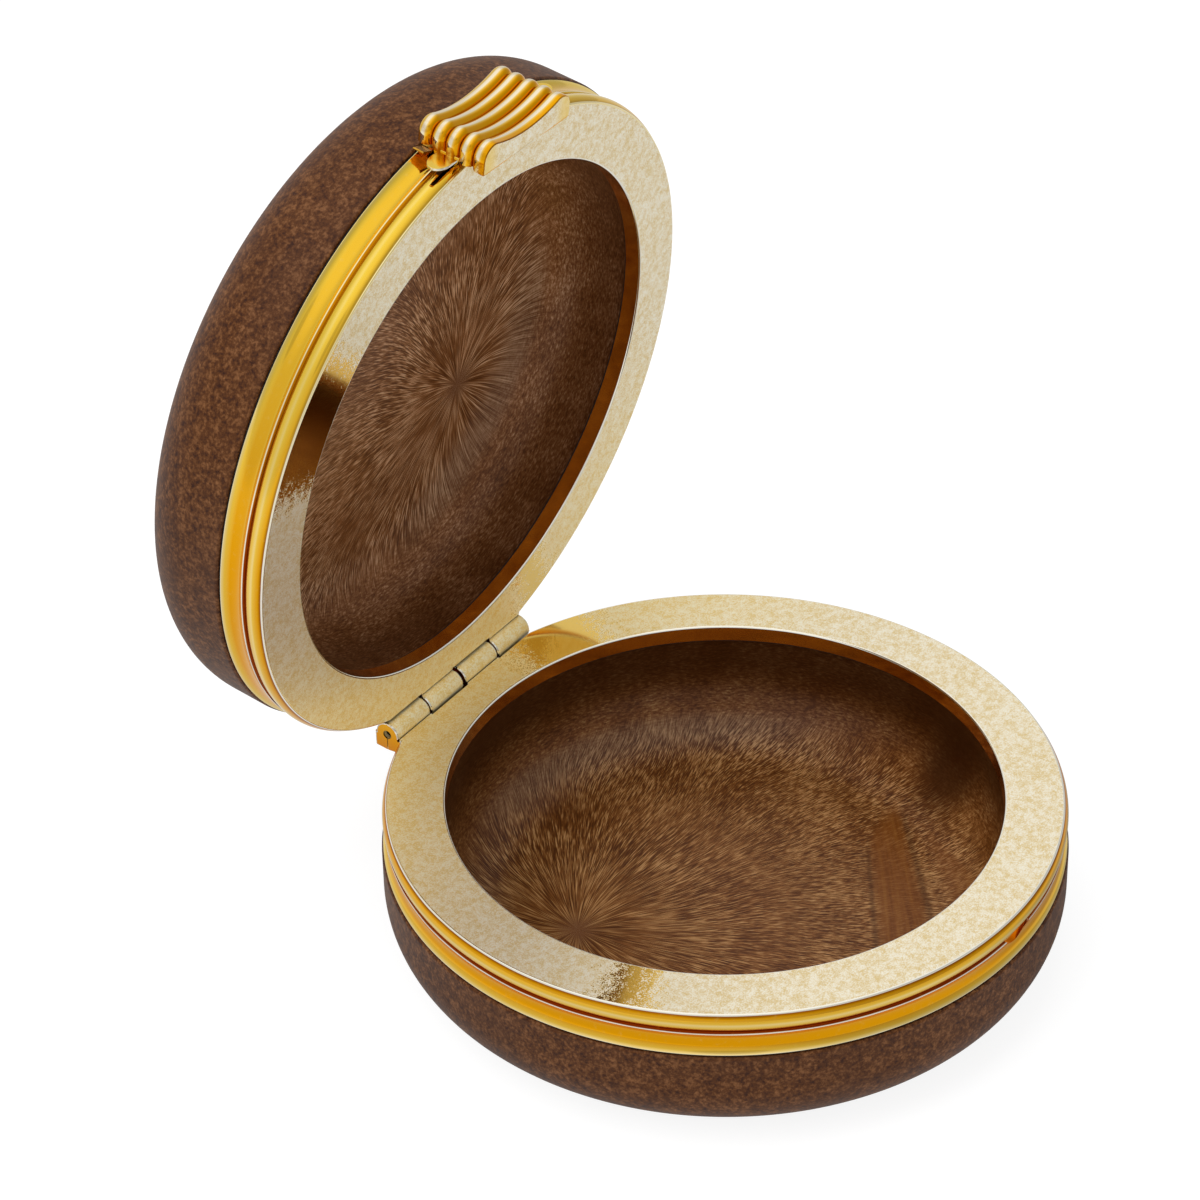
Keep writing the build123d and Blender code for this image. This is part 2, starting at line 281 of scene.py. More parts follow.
def extrude(
    outline: Array, low: float, high: float, edge: float = 0.0, steps: int = 4, held: Array | None = None
) -> Shape:
    """Carry a closed outline along a third direction and close both ends.

    With a rounded edge of radius e, the rows near an end stand at e*(1 - cos(p)) short of it and are drawn
    in by e*(1 - sin(p)), for p from 0 to 90 degrees.  Each point moves along m/|m|**2*2, where m is the sum
    of the inward normals of its two spans, so that every span stays parallel to itself.

    Args:
        outline: closed outline of (first, second) coordinates, counter-clockwise.
        low: third coordinate of the first end.
        high: third coordinate of the last end.
        edge: rounding radius of the two ends.
        steps: rows in each rounding.
        held: points that the rounding doesn't draw in, or None.

    Returns:
        The shape, with coordinates in the order first, second, third.
    """
    forward = np.roll(outline, -1, axis=0) - outline
    backward = outline - np.roll(outline, 1, axis=0)
    along = forward / np.linalg.norm(forward, axis=1, keepdims=True)
    along += backward / np.linalg.norm(backward, axis=1, keepdims=True)
    inward = np.stack([-along[:, 1], along[:, 0]], axis=-1)
    inward *= 2 / np.maximum(np.sum(inward**2, axis=1, keepdims=True), 1.0)
    if held is not None:
        inward[held] = 0
    if edge > 0:
        phase = np.linspace(0, np.pi / 2, steps + 1)
        drawn = edge * (1 - np.sin(phase))
        offset = edge * (1 - np.cos(phase))
        thirds = np.concatenate([low + offset, (high - offset)[::-1]])
        insets = np.concatenate([drawn, drawn[::-1]])
    else:
        thirds, insets = np.array([low, high]), np.zeros(2)
    flat = outline[None] + inward[None] * insets[:, None, None]
    third = np.broadcast_to(thirds[:, None, None], flat.shape[:2] + (1,))
    points = np.concatenate([flat, third], axis=-1).reshape(-1, 3)
    return Shape(points, tube_faces(len(thirds), len(outline)))


def signed_volume(points: Array, faces: list[list[int]]) -> float:
    """Volume by the divergence theorem, a sum over fans of triangles.

    Args:
        points: the points, one row each.
        faces: index lists of a closed surface.

    Returns:
        The volume, negative where the faces point inwards.
    """
    total = 0.0
    for size in {len(face) for face in faces}:
        block = points[np.array([face for face in faces if len(face) == size])]
        for k in range(1, size - 1):
            total += float(np.einsum("ij,ij->i", block[:, 0], np.cross(block[:, k], block[:, k + 1])).sum())
    return total / 6


def build_mesh(name: str, shape: Shape, place: Place, crease: float = 32.0) -> Piece:
    """Write a shape as a mesh in the row frame, outwards, with its local coordinates as an attribute.

    Args:
        name: name of the piece.
        shape: the shape, in local millimetres.
        place: where its half stands.
        crease: edges that turn by more than this angle, in degrees, stay sharp.

    Returns:
        The new object, at the origin, unturned and unscaled.
    """
    shape = shape.outward()
    mesh = bpy.data.meshes.new(name)
    mesh.from_pydata((place.put(shape.points) * MM).tolist(), [], shape.faces)
    if shape.zones:
        mesh.polygons.foreach_set("material_index", np.array(shape.zones, np.int32))
    smooth(mesh, crease)
    mesh.update()
    piece = bpy.data.objects.new(name, mesh)
    bpy.context.scene.collection.objects.link(piece)
    write_local(piece, place)
    return piece


def smooth(mesh: bpy.types.Mesh, crease: float) -> None:
    """Shade a mesh smooth except at edges that turn by more than an angle in degrees."""
    mesh.polygons.foreach_set("use_smooth", np.ones(len(mesh.polygons), bool))
    mesh.set_sharp_from_angle(angle=math.radians(crease))


def write_local(piece: Piece, place: Place) -> None:
    """Store each vertex's place in its half's own frame, in millimetres, as the attribute "local".

    Args:
        piece: the piece.
        place: where its half stands.
    """
    mesh = piece.data
    count = len(mesh.vertices)
    flat = np.empty(count * 3)
    mesh.vertices.foreach_get("co", flat)
    local = (flat.reshape(-1, 3) / MM - place.centre) @ place.axes.T
    store = mesh.attributes.get("local") or mesh.attributes.new("local", "FLOAT_VECTOR", "POINT")
    store.data.foreach_set("vector", local.astype(np.float32).ravel())


def carve(piece: Piece, cutters: Sequence[Shape], place: Place, crease: float = 32.0) -> None:
    """Cut shapes out of a piece, one after the other, and keep only the finished mesh.

    Args:
        piece: the piece that is cut.
        cutters: closed shapes in the half's own frame.
        place: where the half stands.
        crease: as for build_mesh.
    """
    for number, shape in enumerate(cutters):
        tool = build_mesh(f"cutter_{number}", shape, place)
        give(tool, *piece.data.materials)
        # Cut walls take the dark gold of painted shade, standing in for the shade inside notches and slots,
        # unless the cutter gives its own zone.
        zone = shape.zones[0] if shape.zones else Zone.PAINTED_SHADE.value
        tool.data.polygons.foreach_set("material_index", np.full(len(tool.data.polygons), zone))
        cut = piece.modifiers.new("cut", "BOOLEAN")
        cut.operation, cut.object, cut.solver = "DIFFERENCE", tool, "EXACT"
        bpy.context.view_layer.update()
        result = bpy.data.meshes.new_from_object(piece.evaluated_get(bpy.context.evaluated_depsgraph_get()))
        piece.modifiers.clear()
        piece.data = result
        bpy.data.objects.remove(tool)
    piece.data.name = piece.name
    smooth(piece.data, crease)
    write_local(piece, place)


def soften(piece: Piece, width: float) -> None:
    """Round a piece's sharp edges with a bevel.

    Args:
        piece: the piece.
        width: width of the bevel in millimetres.
    """
    bevel = piece.modifiers.new("edges", "BEVEL")
    bevel.width, bevel.segments, bevel.limit_method = width * MM, 3, "ANGLE"
    bevel.angle_limit, bevel.use_clamp_overlap = math.radians(40), False


def give(piece: Piece, *materials: Material) -> None:
    """Fill a piece's material slots in order."""
    for material in materials:
        piece.data.materials.append(material)


class Nodes:
    """A material's or the world's node tree, with short calls for the nodes used here."""

    def __init__(self, tree: bpy.types.NodeTree) -> None:
        """Empty the tree and keep it."""
        self.tree = tree
        tree.nodes.clear()

    def add(
        self, kind: str, inputs: dict[str | int, object] | None = None, **settings: object
    ) -> bpy.types.Node:
        """Add a node.

        Args:
            kind: the node's class without its Shader prefix.
            inputs: socket to value or to another node's output.
            settings: properties of the node.

        Returns:
            The node.
        """
        node = self.tree.nodes.new("ShaderNode" + kind)
        for key, value in settings.items():
            setattr(node, key, value)
        for key, value in (inputs or {}).items():
            if isinstance(value, Socket):
                self.tree.links.new(value, node.inputs[key])
            else:
                node.inputs[key].default_value = value
        return node

    def math(self, operation: str, *values: object) -> Socket:
        """A Math node's result."""
        return self.add("Math", dict(enumerate(values)), operation=operation).outputs[0]

    def times(self, first: object, second: object) -> Socket:
        """The product of two numbers."""
        return self.math("MULTIPLY", first, second)

    def plus(self, first: object, second: object) -> Socket:
        """The sum of two numbers."""
        return self.math("ADD", first, second)

    def minus(self, first: object, second: object) -> Socket:
        """The first number less the second."""
        return self.math("SUBTRACT", first, second)

    def vector(self, operation: str, *values: object) -> Socket:
        """A Vector Math node's result: the number where it has one, else the vector."""
        node = self.add("VectorMath", dict(enumerate(values)), operation=operation)
        return node.outputs["Value" if operation in ("LENGTH", "DOT_PRODUCT", "DISTANCE") else "Vector"]

    def dot(self, first: object, second: object) -> Socket:
        """The dot product of two vectors."""
        return self.vector("DOT_PRODUCT", first, second)

    def level(self, value: object) -> Socket:
        """A vector with its height taken out."""
        return self.vector("MULTIPLY", value, (1.0, 1.0, 0.0))

    def split(self, value: object) -> bpy.types.NodeOutputs:
        """A vector's three numbers."""
        return self.add("SeparateXYZ", {0: value}).outputs

    def noise(self, where: object, scale: float, detail: float = 2.0, rough: float = 0.5) -> Socket:
        """Noise from 0 to 1 at a vector."""
        inputs = {"Vector": where, "Scale": scale, "Detail": detail, "Roughness": rough}
        return self.add("TexNoise", inputs).outputs[0]

    def span(
        self, value: object, low: float, high: float, to_low: float = 0.0, to_high: float = 1.0
    ) -> Socket:
        """A smooth step of value from low to high, mapped to two other values."""
        inputs = {"Value": value, "From Min": low, "From Max": high, "To Min": to_low, "To Max": to_high}
        return self.add("MapRange", inputs, interpolation_type="SMOOTHSTEP").outputs[0]

    def fall(self, value: object, low: float, high: float) -> Socket:
        """A smooth step down, 1 up to low and 0 from high."""
        return self.span(value, low, high, 1.0, 0.0)

    def mix(self, share: object, first: object, second: object) -> Socket:
        """A mix of two numbers."""
        return self.add("Mix", {0: share, 2: first, 3: second}).outputs[0]

    def blend(self, share: object, first: object, second: object) -> Socket:
        """A mix of two colours."""
        return self.add("Mix", {0: share, 6: first, 7: second}, data_type="RGBA").outputs[2]

    def ramp(self, value: object, stops: Sequence[tuple[float, Colour]]) -> Socket:
        """A colour that goes straight from stop to stop as the value rises.

        Args:
            value: the number that picks the colour.
            stops: at least two pairs of a value and its colour, in rising order.

        Returns:
            The colour.
        """
        low, high = stops[0][0], stops[-1][0]
        share = self.add("MapRange", {"Value": value, "From Min": low, "From Max": high}).outputs[0]
        node = self.add("ValToRGB", {0: share})
        elements = node.color_ramp.elements
        for number, (at, colour) in enumerate(stops):
            place = (at - low) / (high - low)
            element = elements[number] if number < 2 else elements.new(place)
            element.position, element.color = place, colour
        return node.outputs[0]

    def principled(self, **inputs: object) -> None:
        """Finish the material with one shader; underscores in the names stand for spaces."""
        named = {key.replace("_", " "): value for key, value in inputs.items()}
        self.add("OutputMaterial", {0: self.add("BsdfPrincipled", named).outputs[0]})

    def where(self) -> Socket:
        """The piece's Object coordinates, in metres."""
        return self.add("TexCoord").outputs["Object"]

    def local(self) -> Socket:
        """The piece's own coordinates in its half's frame, in millimetres."""
        return self.add("Attribute", attribute_name="local", attribute_type="GEOMETRY").outputs["Vector"]

    def bump(self, height: object, strength: float, distance: float, under: object | None = None) -> Socket:
        """A bumped normal.

        Args:
            height: height of the relief, from 0 to 1.
            strength: share of the relief that shows.
            distance: depth of the relief in metres.
            under: a normal to start from, or None for the surface's own.

        Returns:
            The normal.
        """
        inputs = {"Height": height, "Strength": strength, "Distance": distance}
        if under is not None:
            inputs["Normal"] = under
        return self.add("Bump", inputs).outputs[0]


def shade(red: float, green: float, blue: float) -> Colour:
    """A linear colour with full alpha."""
    return (red, green, blue, 1.0)


def new_material(name: str) -> tuple[Material, Nodes]:
    """An empty node material.

    Args:
        name: its name.

    Returns:
        The material and its node tree.
    """
    material = bpy.data.materials.new(name)
    material.use_nodes = True
    return material, Nodes(material.node_tree)


@dataclass(frozen=True)
class Frosted:
    """Gold finely blasted and bright-coated: pale specks on a golden body, both softly glossy.

    Args:
        name: name of the material.
        polished: sectors left smooth, each as its middle and half width in degrees round the half's centre.
        warmth: how much yellower the gold is close to the hinge.
        hem: distance from the centre within which the lower corners are golden, or 0 for none.
    """

    name: str
    polished: tuple[Pair, ...] = ()
    warmth: float = 0.7
    hem: float = 0.0

    def build(self) -> Material:
        """Fine noise picks specks or body, coarse noise moves the tone, and the gold warms towards the hinge.

        Returns:
            The material.
        """
        material, nodes = new_material(self.name)
        where = nodes.where()
        fine = nodes.noise(where, 5200.0, 2.0, 0.6)
        coarse = nodes.noise(where, 1100.0, 3.0, 0.6)
        tone = nodes.plus(nodes.times(fine, 0.62), nodes.times(coarse, 0.38))
        speck = nodes.span(tone, 0.4, 0.62)
        body = nodes.blend(nodes.span(coarse, 0.3, 0.7), shade(0.8, 0.62, 0.3), shade(0.85, 0.7, 0.41))
        colour = nodes.blend(speck, body, shade(0.94, 0.88, 0.72))
        rough = nodes.span(speck, 0.0, 1.0, 0.42, 0.34)
        metal = nodes.span(speck, 0.0, 1.0, 0.75, 0.65)
        across, forward, _ = nodes.split(nodes.local())
        warm = nodes.span(forward, 2.0, 40.0, 0.0, self.warmth)
        yellow = nodes.blend(speck, shade(0.93, 0.66, 0.17), shade(0.97, 0.82, 0.42))
        colour = nodes.blend(warm, colour, yellow)
        metal = nodes.times(metal, nodes.minus(1.0, nodes.times(warm, 0.6)))
        if self.hem:
            colour = self.hemmed(nodes, colour, tone, nodes.math("ABSOLUTE", across), forward)
        flat = nodes.vector("NORMALIZE", nodes.level(nodes.local()))
        fray = nodes.times(nodes.minus(tone, 0.5), 0.5)
        soft = 2.0
        for middle, half in self.polished:
            turn = math.radians(middle)
            along = nodes.dot(flat, (math.cos(turn), math.sin(turn), 0.0))
            away = nodes.plus(nodes.math("ARCCOSINE", along), fray)
            inside = nodes.fall(away, math.radians(half - soft), math.radians(half + soft))
            colour = nodes.blend(inside, colour, shade(0.86, 0.58, 0.14))
            rough = nodes.mix(inside, rough, 0.08)
            metal = nodes.math("MAXIMUM", metal, inside)
        nodes.principled(Base_Color=colour, Metallic=metal, Roughness=rough)
        return material

    def hemmed(self, nodes: Nodes, colour: Socket, tone: Socket, beside: Socket, forward: Socket) -> Socket:
        """Golden ends, frayed by the tone, and a deep golden line along the lower edge.

        Args:
            nodes: the material's tree.
            colour: the frosted colour.
            tone: the grain's noise.
            beside: distance from the middle, along the hinge's direction.
            forward: distance towards the hinge.

        Returns:
            The colour with the hem laid over it.
        """
        below = nodes.span(forward, -self.hem - 0.2, -self.hem - 0.05)
        low = nodes.times(below, nodes.span(beside, 1.5, 5.0))
        ends = nodes.span(nodes.plus(beside, nodes.times(tone, 2.0)), 6.2, 8.6, 0.0, 0.75)
        colour = nodes.blend(ends, colour, shade(0.95, 0.68, 0.16))
        return nodes.blend(low, colour, shade(0.84, 0.42, 0.01))


@dataclass(frozen=True)
class Gold:
    """Polished plated gold whose tone changes over a form.

    Args:
        name: name of the material.
        stops: pairs of a place on the form and the colour there.
        rough: roughness of the surface.
        pitch: length after which the places repeat, in millimetres, or 0 where they are plain heights.
        start: height at which the first repeat begins.
        mottle_from: distance to either side from which on the gold is mottled, in millimetres, or 0 for none.
        pale: how much paler the gold is opposite the hinge.
    """

    name: str
    stops: tuple[tuple[float, Colour], ...]
    rough: float
    pitch: float = 0.0
    start: float = 0.0
    mottle_from: float = 0.0
    pale: float = 0.0

    def build(self) -> Material:
        """Pick the colour by the height over the half's face, a little unsteady, and lay faint grain over it.

        The wall of the mouth, below the face and close to the centre, is browner.

        Returns:
            The material.
        """
        material, nodes = new_material(self.name)
        where = nodes.where()
        fine = nodes.noise(where, 1600.0, 3.0, 0.6)
        broad = nodes.noise(where, 120.0, 2.0)
        across, forward, height = nodes.split(nodes.local())
        place = height
        if self.pitch:
            place = nodes.math("FRACT", nodes.math("DIVIDE", nodes.minus(self.start, height), self.pitch))
        drift = nodes.times(nodes.minus(broad, 0.5), 0.12)
        colour = nodes.ramp(nodes.plus(place, drift), self.stops)
        radius = nodes.vector("LENGTH", nodes.level(nodes.local()))
        wall = nodes.times(nodes.fall(radius, 36.0, 38.0), nodes.fall(height, -0.32, -0.14))
        colour = nodes.blend(wall, colour, shade(0.74, 0.36, 0.045))
        if self.pale:
            opposite = nodes.span(forward, -34.0, 2.0, self.pale, 0.0)
            outside = nodes.times(opposite, nodes.span(radius, 40.0, 41.5))
            colour = nodes.blend(outside, colour, shade(1.0, 0.72, 0.07))
        colour = nodes.blend(nodes.span(fine, 0.55, 0.85, 0.0, 0.2), colour, shade(0.9, 0.66, 0.2))
        rough = nodes.span(fine, 0.3, 0.7, self.rough * 0.7, self.rough * 1.3)
        # Beyond that distance the gold is mottled with dark brown, most strongly low on the ends, close to
        # the rim.
        if self.mottle_from:
            beyond = nodes.span(nodes.math("ABSOLUTE", across), self.mottle_from, self.mottle_from + 0.9)
            lower = nodes.span(forward, -44.6, -43.4, 0.25, 1.0)
            patchy = nodes.times(nodes.span(nodes.noise(where, 700.0, 3.0, 0.7), 0.44, 0.6), lower)
            colour = nodes.blend(nodes.times(beyond, patchy), colour, shade(0.5, 0.17, 0.004))
        normal = nodes.bump(fine, 1.0, 0.8e-6)
        nodes.principled(Base_Color=colour, Metallic=1.0, Roughness=rough, Normal=normal)
        return material


@dataclass(frozen=True)
class Resin:
    """Brown cast resin: satin and speckled outside, smoother inside with fine hair-like streaks.

    The streaks leave one spot like the hairs of a crown and lean over towards one side.  At an offset d from
    the spot, the way d - p*g*r*r/(1 + 0.035*r) is straight along a hair, with r the length of d, p the side
    and g the lean.

    Args:
        name: name of the material.
        burst: where the streaks start, in the bowl's own plane.
        side: unit direction in which the streaks lean over.
        lean: lean of the streaks, in 1/mm.
        sheen: direction, in the bowl's plane, of a painted sheen: the corner of the floor is painted greyest
            there, in place of a reflection.
        tint: factors on the hairs' red, green and blue.
        rim_shade: how much darker the wall is painted close to the mouth, as painted shade under the
            overhanging rim.
        curl: middle of a smooth banded patch that runs square to the side, or None.
        burst_h: height of the spot, measured from the face.
        inside_r: radius within which the bowl shows its inside.
        floor_h: height over which the bowl shows its inside, measured from the face.
    """

    name: str
    burst: Pair
    side: Pair
    lean: float
    sheen: Pair
    tint: Triple
    rim_shade: float
    curl: Pair | None = None
    burst_h: float = -16.8
    inside_r: float = 36.6
    floor_h: float = -17.6

    def hairs(self, nodes: Nodes, local: Socket) -> tuple[Socket, Socket]:
        """Noise drawn out along the hairs, on the wall giving way to short fibres along the mouth.

        It is read at (n*cos(a), n*sin(a), r*(0.11 + 0.009*r)), with a the hair's angle, r the distance from
        the spot and n rising in three steps, so that the hairs stay fine far from the spot.

        Args:
            nodes: the material's tree.
            local: the bowl's own coordinates.

        Returns:
            The noise and the distance r from the spot.
        """
        offset = nodes.vector("SUBTRACT", local, (*self.burst, self.burst_h))
        reach = nodes.vector("LENGTH", nodes.vector("MULTIPLY", offset, (1.0, 1.0, 0.7)))
        fade = nodes.plus(nodes.times(reach, 0.035), 1.0)
        bend = nodes.math("DIVIDE", nodes.times(nodes.times(reach, reach), self.lean), fade)
        shift = {0: nodes.times(bend, self.side[0]), 1: nodes.times(bend, self.side[1])}
        flat = nodes.level(nodes.vector("SUBTRACT", offset, nodes.add("CombineXYZ", shift).outputs[0]))
        across, forward, _ = nodes.split(nodes.vector("NORMALIZE", flat))
        stray = nodes.times(nodes.minus(nodes.noise(local, 0.07, 0.0), 0.5), 0.14)
        angle = nodes.plus(nodes.math("ARCTAN2", forward, across), stray)
        along = nodes.times(reach, nodes.plus(nodes.times(reach, 0.009), 0.11))
        layers = []
        for count in (44.0, 130.0, 280.0):
            ring = {
                0: nodes.times(nodes.math("COSINE", angle), count),
                1: nodes.times(nodes.math("SINE", angle), count),
                2: along,
            }
            layers.append(nodes.noise(nodes.add("CombineXYZ", ring).outputs[0], 1.0, 2.0, 0.6))
        mixed = nodes.mix(nodes.span(reach, 4.0, 12.0), layers[0], layers[1])
        mixed = nodes.mix(nodes.span(reach, 17.0, 32.0), mixed, layers[2])
        mixed = nodes.plus(nodes.times(nodes.minus(mixed, 0.5), 2.0), 0.5)
        fuzz = nodes.noise(nodes.vector("MULTIPLY", local, (0.9, 0.9, 3.4)), 1.5, 3.0, 0.7)
        wall = nodes.span(nodes.split(local)[2], -16.2, -12.0)
        return nodes.mix(wall, mixed, fuzz), reach

    def inside(self, nodes: Nodes, local: Socket, hair: Socket, reach: Socket) -> Socket:
        """Tan hairs on brown, a smooth reddish spot where they start, a painted sheen on the floor's corner,
        painted shade on the wall under the rim and, if given, a smooth curl.

        Args:
            nodes: the material's tree.
            local: the bowl's own coordinates.
            hair: the hairs' noise.
            reach: distance from the spot.

        Returns:
            The inside's colour.
        """
        cloud = nodes.noise(local, 0.16, 3.0)
        tone = nodes.plus(hair, nodes.times(nodes.minus(cloud, 0.5), 0.35))
        stops = (
            (0.3, (0.058, 0.016, 0.002)),
            (0.46, (0.125, 0.04, 0.007)),
            (0.58, (0.21, 0.083, 0.023)),
            (0.76, (0.42, 0.23, 0.09)),
        )
        tinted = [(at, shade(*(np.array(colour) * self.tint).tolist())) for at, colour in stops]
        colour = nodes.ramp(tone, tinted)
        colour = nodes.blend(nodes.span(reach, 0.6, 4.0, 0.6, 0.0), colour, shade(0.13, 0.05, 0.02))
        height = nodes.split(local)[2]
        # Painted sheen: a greyer band painted on the corner of the floor, strongest towards the sheen
        # direction, in place of the coat's reflection.
        toward = nodes.dot(nodes.vector("NORMALIZE", nodes.level(local)), (*self.sheen, 0.0))
        off_corner = nodes.math("ABSOLUTE", nodes.plus(height, 14.6))
        glow = nodes.times(nodes.fall(off_corner, 0.3, 2.0), nodes.span(toward, 0.62, 0.95))
        glow = nodes.times(glow, nodes.span(tone, 0.35, 0.6, 0.1, 0.42))
        colour = nodes.blend(glow, colour, shade(0.24, 0.16, 0.1))
        if self.curl is not None:
            colour = self.swirl(nodes, local, colour, tone)
        # Painted shade: the wall goes towards near black close to the mouth, under the overhanging rim.
        rim_shade = nodes.span(height, -15.5, -7.0, 0.0, self.rim_shade)
        return nodes.blend(rim_shade, colour, shade(0.025, 0.005, 0.0005))

    def swirl(self, nodes: Nodes, local: Socket, colour: Socket, tone: Socket) -> Socket:
        """Two smooth bands that fan out from one end, u = (across + 4.1) * 55 / (59 - along), and a dark
        patch of painted shade.

        Args:
            nodes: the material's tree.
            local: the bowl's own coordinates.
            colour: the hairs' colour.
            tone: the hairs' noise.

        Returns:
            The colour with the bands laid over it.
        """
        offset = nodes.vector("SUBTRACT", local, (*self.curl, 0.0))
        along = nodes.dot(offset, (-self.side[1], self.side[0], 0.0))
        across = nodes.dot(offset, (*self.side, 0.0))
        fan = nodes.math("DIVIDE", nodes.plus(across, 4.1), nodes.minus(59.0, along))
        fan = nodes.times(fan, 55.0)
        stripe = nodes.add("CombineXYZ", {0: fan, 1: nodes.times(along, 0.04)}).outputs[0]
        bands = nodes.noise(stripe, 1.4, 4.0, 0.6)
        dark, brown, light = shade(0.1, 0.026, 0.002), shade(0.145, 0.043, 0.005), shade(0.19, 0.068, 0.011)
        patch = nodes.ramp(bands, ((0.3, dark), (0.5, brown), (0.7, light)))
        patch = nodes.blend(nodes.span(tone, 0.45, 0.75, 0.0, 0.4), patch, shade(0.25, 0.1, 0.025))
        off_middle = nodes.math("ABSOLUTE", nodes.minus(fan, 4.5))
        far = nodes.times(nodes.math("POWER", off_middle, 2.0), 0.3)
        end = nodes.fall(nodes.plus(along, far), 11.5, 16.5)
        for low, high, share in ((-0.2, 5.4, 0.9), (8.0, 12.0, 0.6)):
            band = nodes.times(nodes.span(fan, low - 0.8, low + 1.2), nodes.fall(fan, high - 1.2, high + 0.6))
            colour = nodes.blend(nodes.times(nodes.times(band, end), share), colour, patch)
        for middle, width in ((-0.4, 0.5), (5.6, 0.8)):
            edge = nodes.span(nodes.math("ABSOLUTE", nodes.minus(fan, middle)), 0.0, width, 0.5, 0.0)
            colour = nodes.blend(nodes.times(edge, end), colour, shade(0.05, 0.016, 0.003))
        # Painted shade: a dark patch on the far right wall, standing in for the shade that falls there.
        from_shade_patch = nodes.vector("SUBTRACT", local, (31.5, -13.5, -11.0))
        eye = nodes.vector("LENGTH", nodes.vector("MULTIPLY", from_shade_patch, (1.0, 1.0, 0.8)))
        return nodes.blend(nodes.span(eye, 2.0, 7.5, 0.85, 0.0), colour, shade(0.03, 0.007, 0.001))

    def build(self) -> Material:
        """Blend the outside's speckle and the inside's hairs by the bowl's own coordinates.

        Returns:
            The material.
        """
        material, nodes = new_material(self.name)
        where, local = nodes.where(), nodes.local()
        height = nodes.split(local)[2]
        radius = nodes.vector("LENGTH", nodes.level(local))
        over_floor = nodes.span(height, self.floor_h - 0.4, self.floor_h)
        within = nodes.times(nodes.fall(radius, self.inside_r, self.inside_r + 0.4), over_floor)
        hair, reach = self.hairs(nodes, local)
        inner = self.inside(nodes, local, hair, reach)
        speck = nodes.noise(where, 2200.0, 3.0, 0.65)
        grain = nodes.noise(where, 800.0, 3.0, 0.6)
        cloud = nodes.noise(where, 90.0, 3.0)
        mottle = nodes.plus(nodes.times(speck, 0.6), nodes.times(grain, 0.4))
        dark, brown, tan = shade(0.024, 0.005, 0.001), shade(0.077, 0.024, 0.004), shade(0.19, 0.078, 0.027)
        outer = nodes.ramp(mottle, ((0.36, dark), (0.5, brown), (0.66, tan)))
        outer = nodes.blend(nodes.span(cloud, 0.45, 0.8, 0.0, 0.4), outer, shade(0.045, 0.014, 0.004))
        colour = nodes.blend(within, outer, inner)
        rough = nodes.span(within, 0.0, 1.0, 0.5, 0.33)
        pores = nodes.bump(mottle, 1.0, 16e-6)
        normal = nodes.bump(nodes.times(hair, within), 1.0, 12e-6, pores)
        nodes.principled(Base_Color=colour, Roughness=rough, Normal=normal, IOR=1.45, Specular_IOR_Level=0.22)
        return material


@dataclass(frozen=True)
class Plain:
    """A small or hidden piece: one base colour, clouded by noise.

    Args:
        name: name of the material.
        colour: base colour.
        metal: metallic share.
        rough: roughness.
    """

    name: str
    colour: Colour
    metal: float
    rough: float

    def build(self) -> Material:
        """Noise darkens the colour in places and breaks up the gloss.

        Returns:
            The material.
        """
        material, nodes = new_material(self.name)
        cloud = nodes.noise(nodes.where(), 1500.0, 3.0)
        dark = shade(*(0.6 * part for part in self.colour[:3]))
        colour = nodes.blend(nodes.span(cloud, 0.35, 0.65), self.colour, dark)
        rough = nodes.span(cloud, 0.3, 0.7, self.rough * 0.8, self.rough * 1.2)
        nodes.principled(Base_Color=colour, Metallic=self.metal, Roughness=rough)
        return material


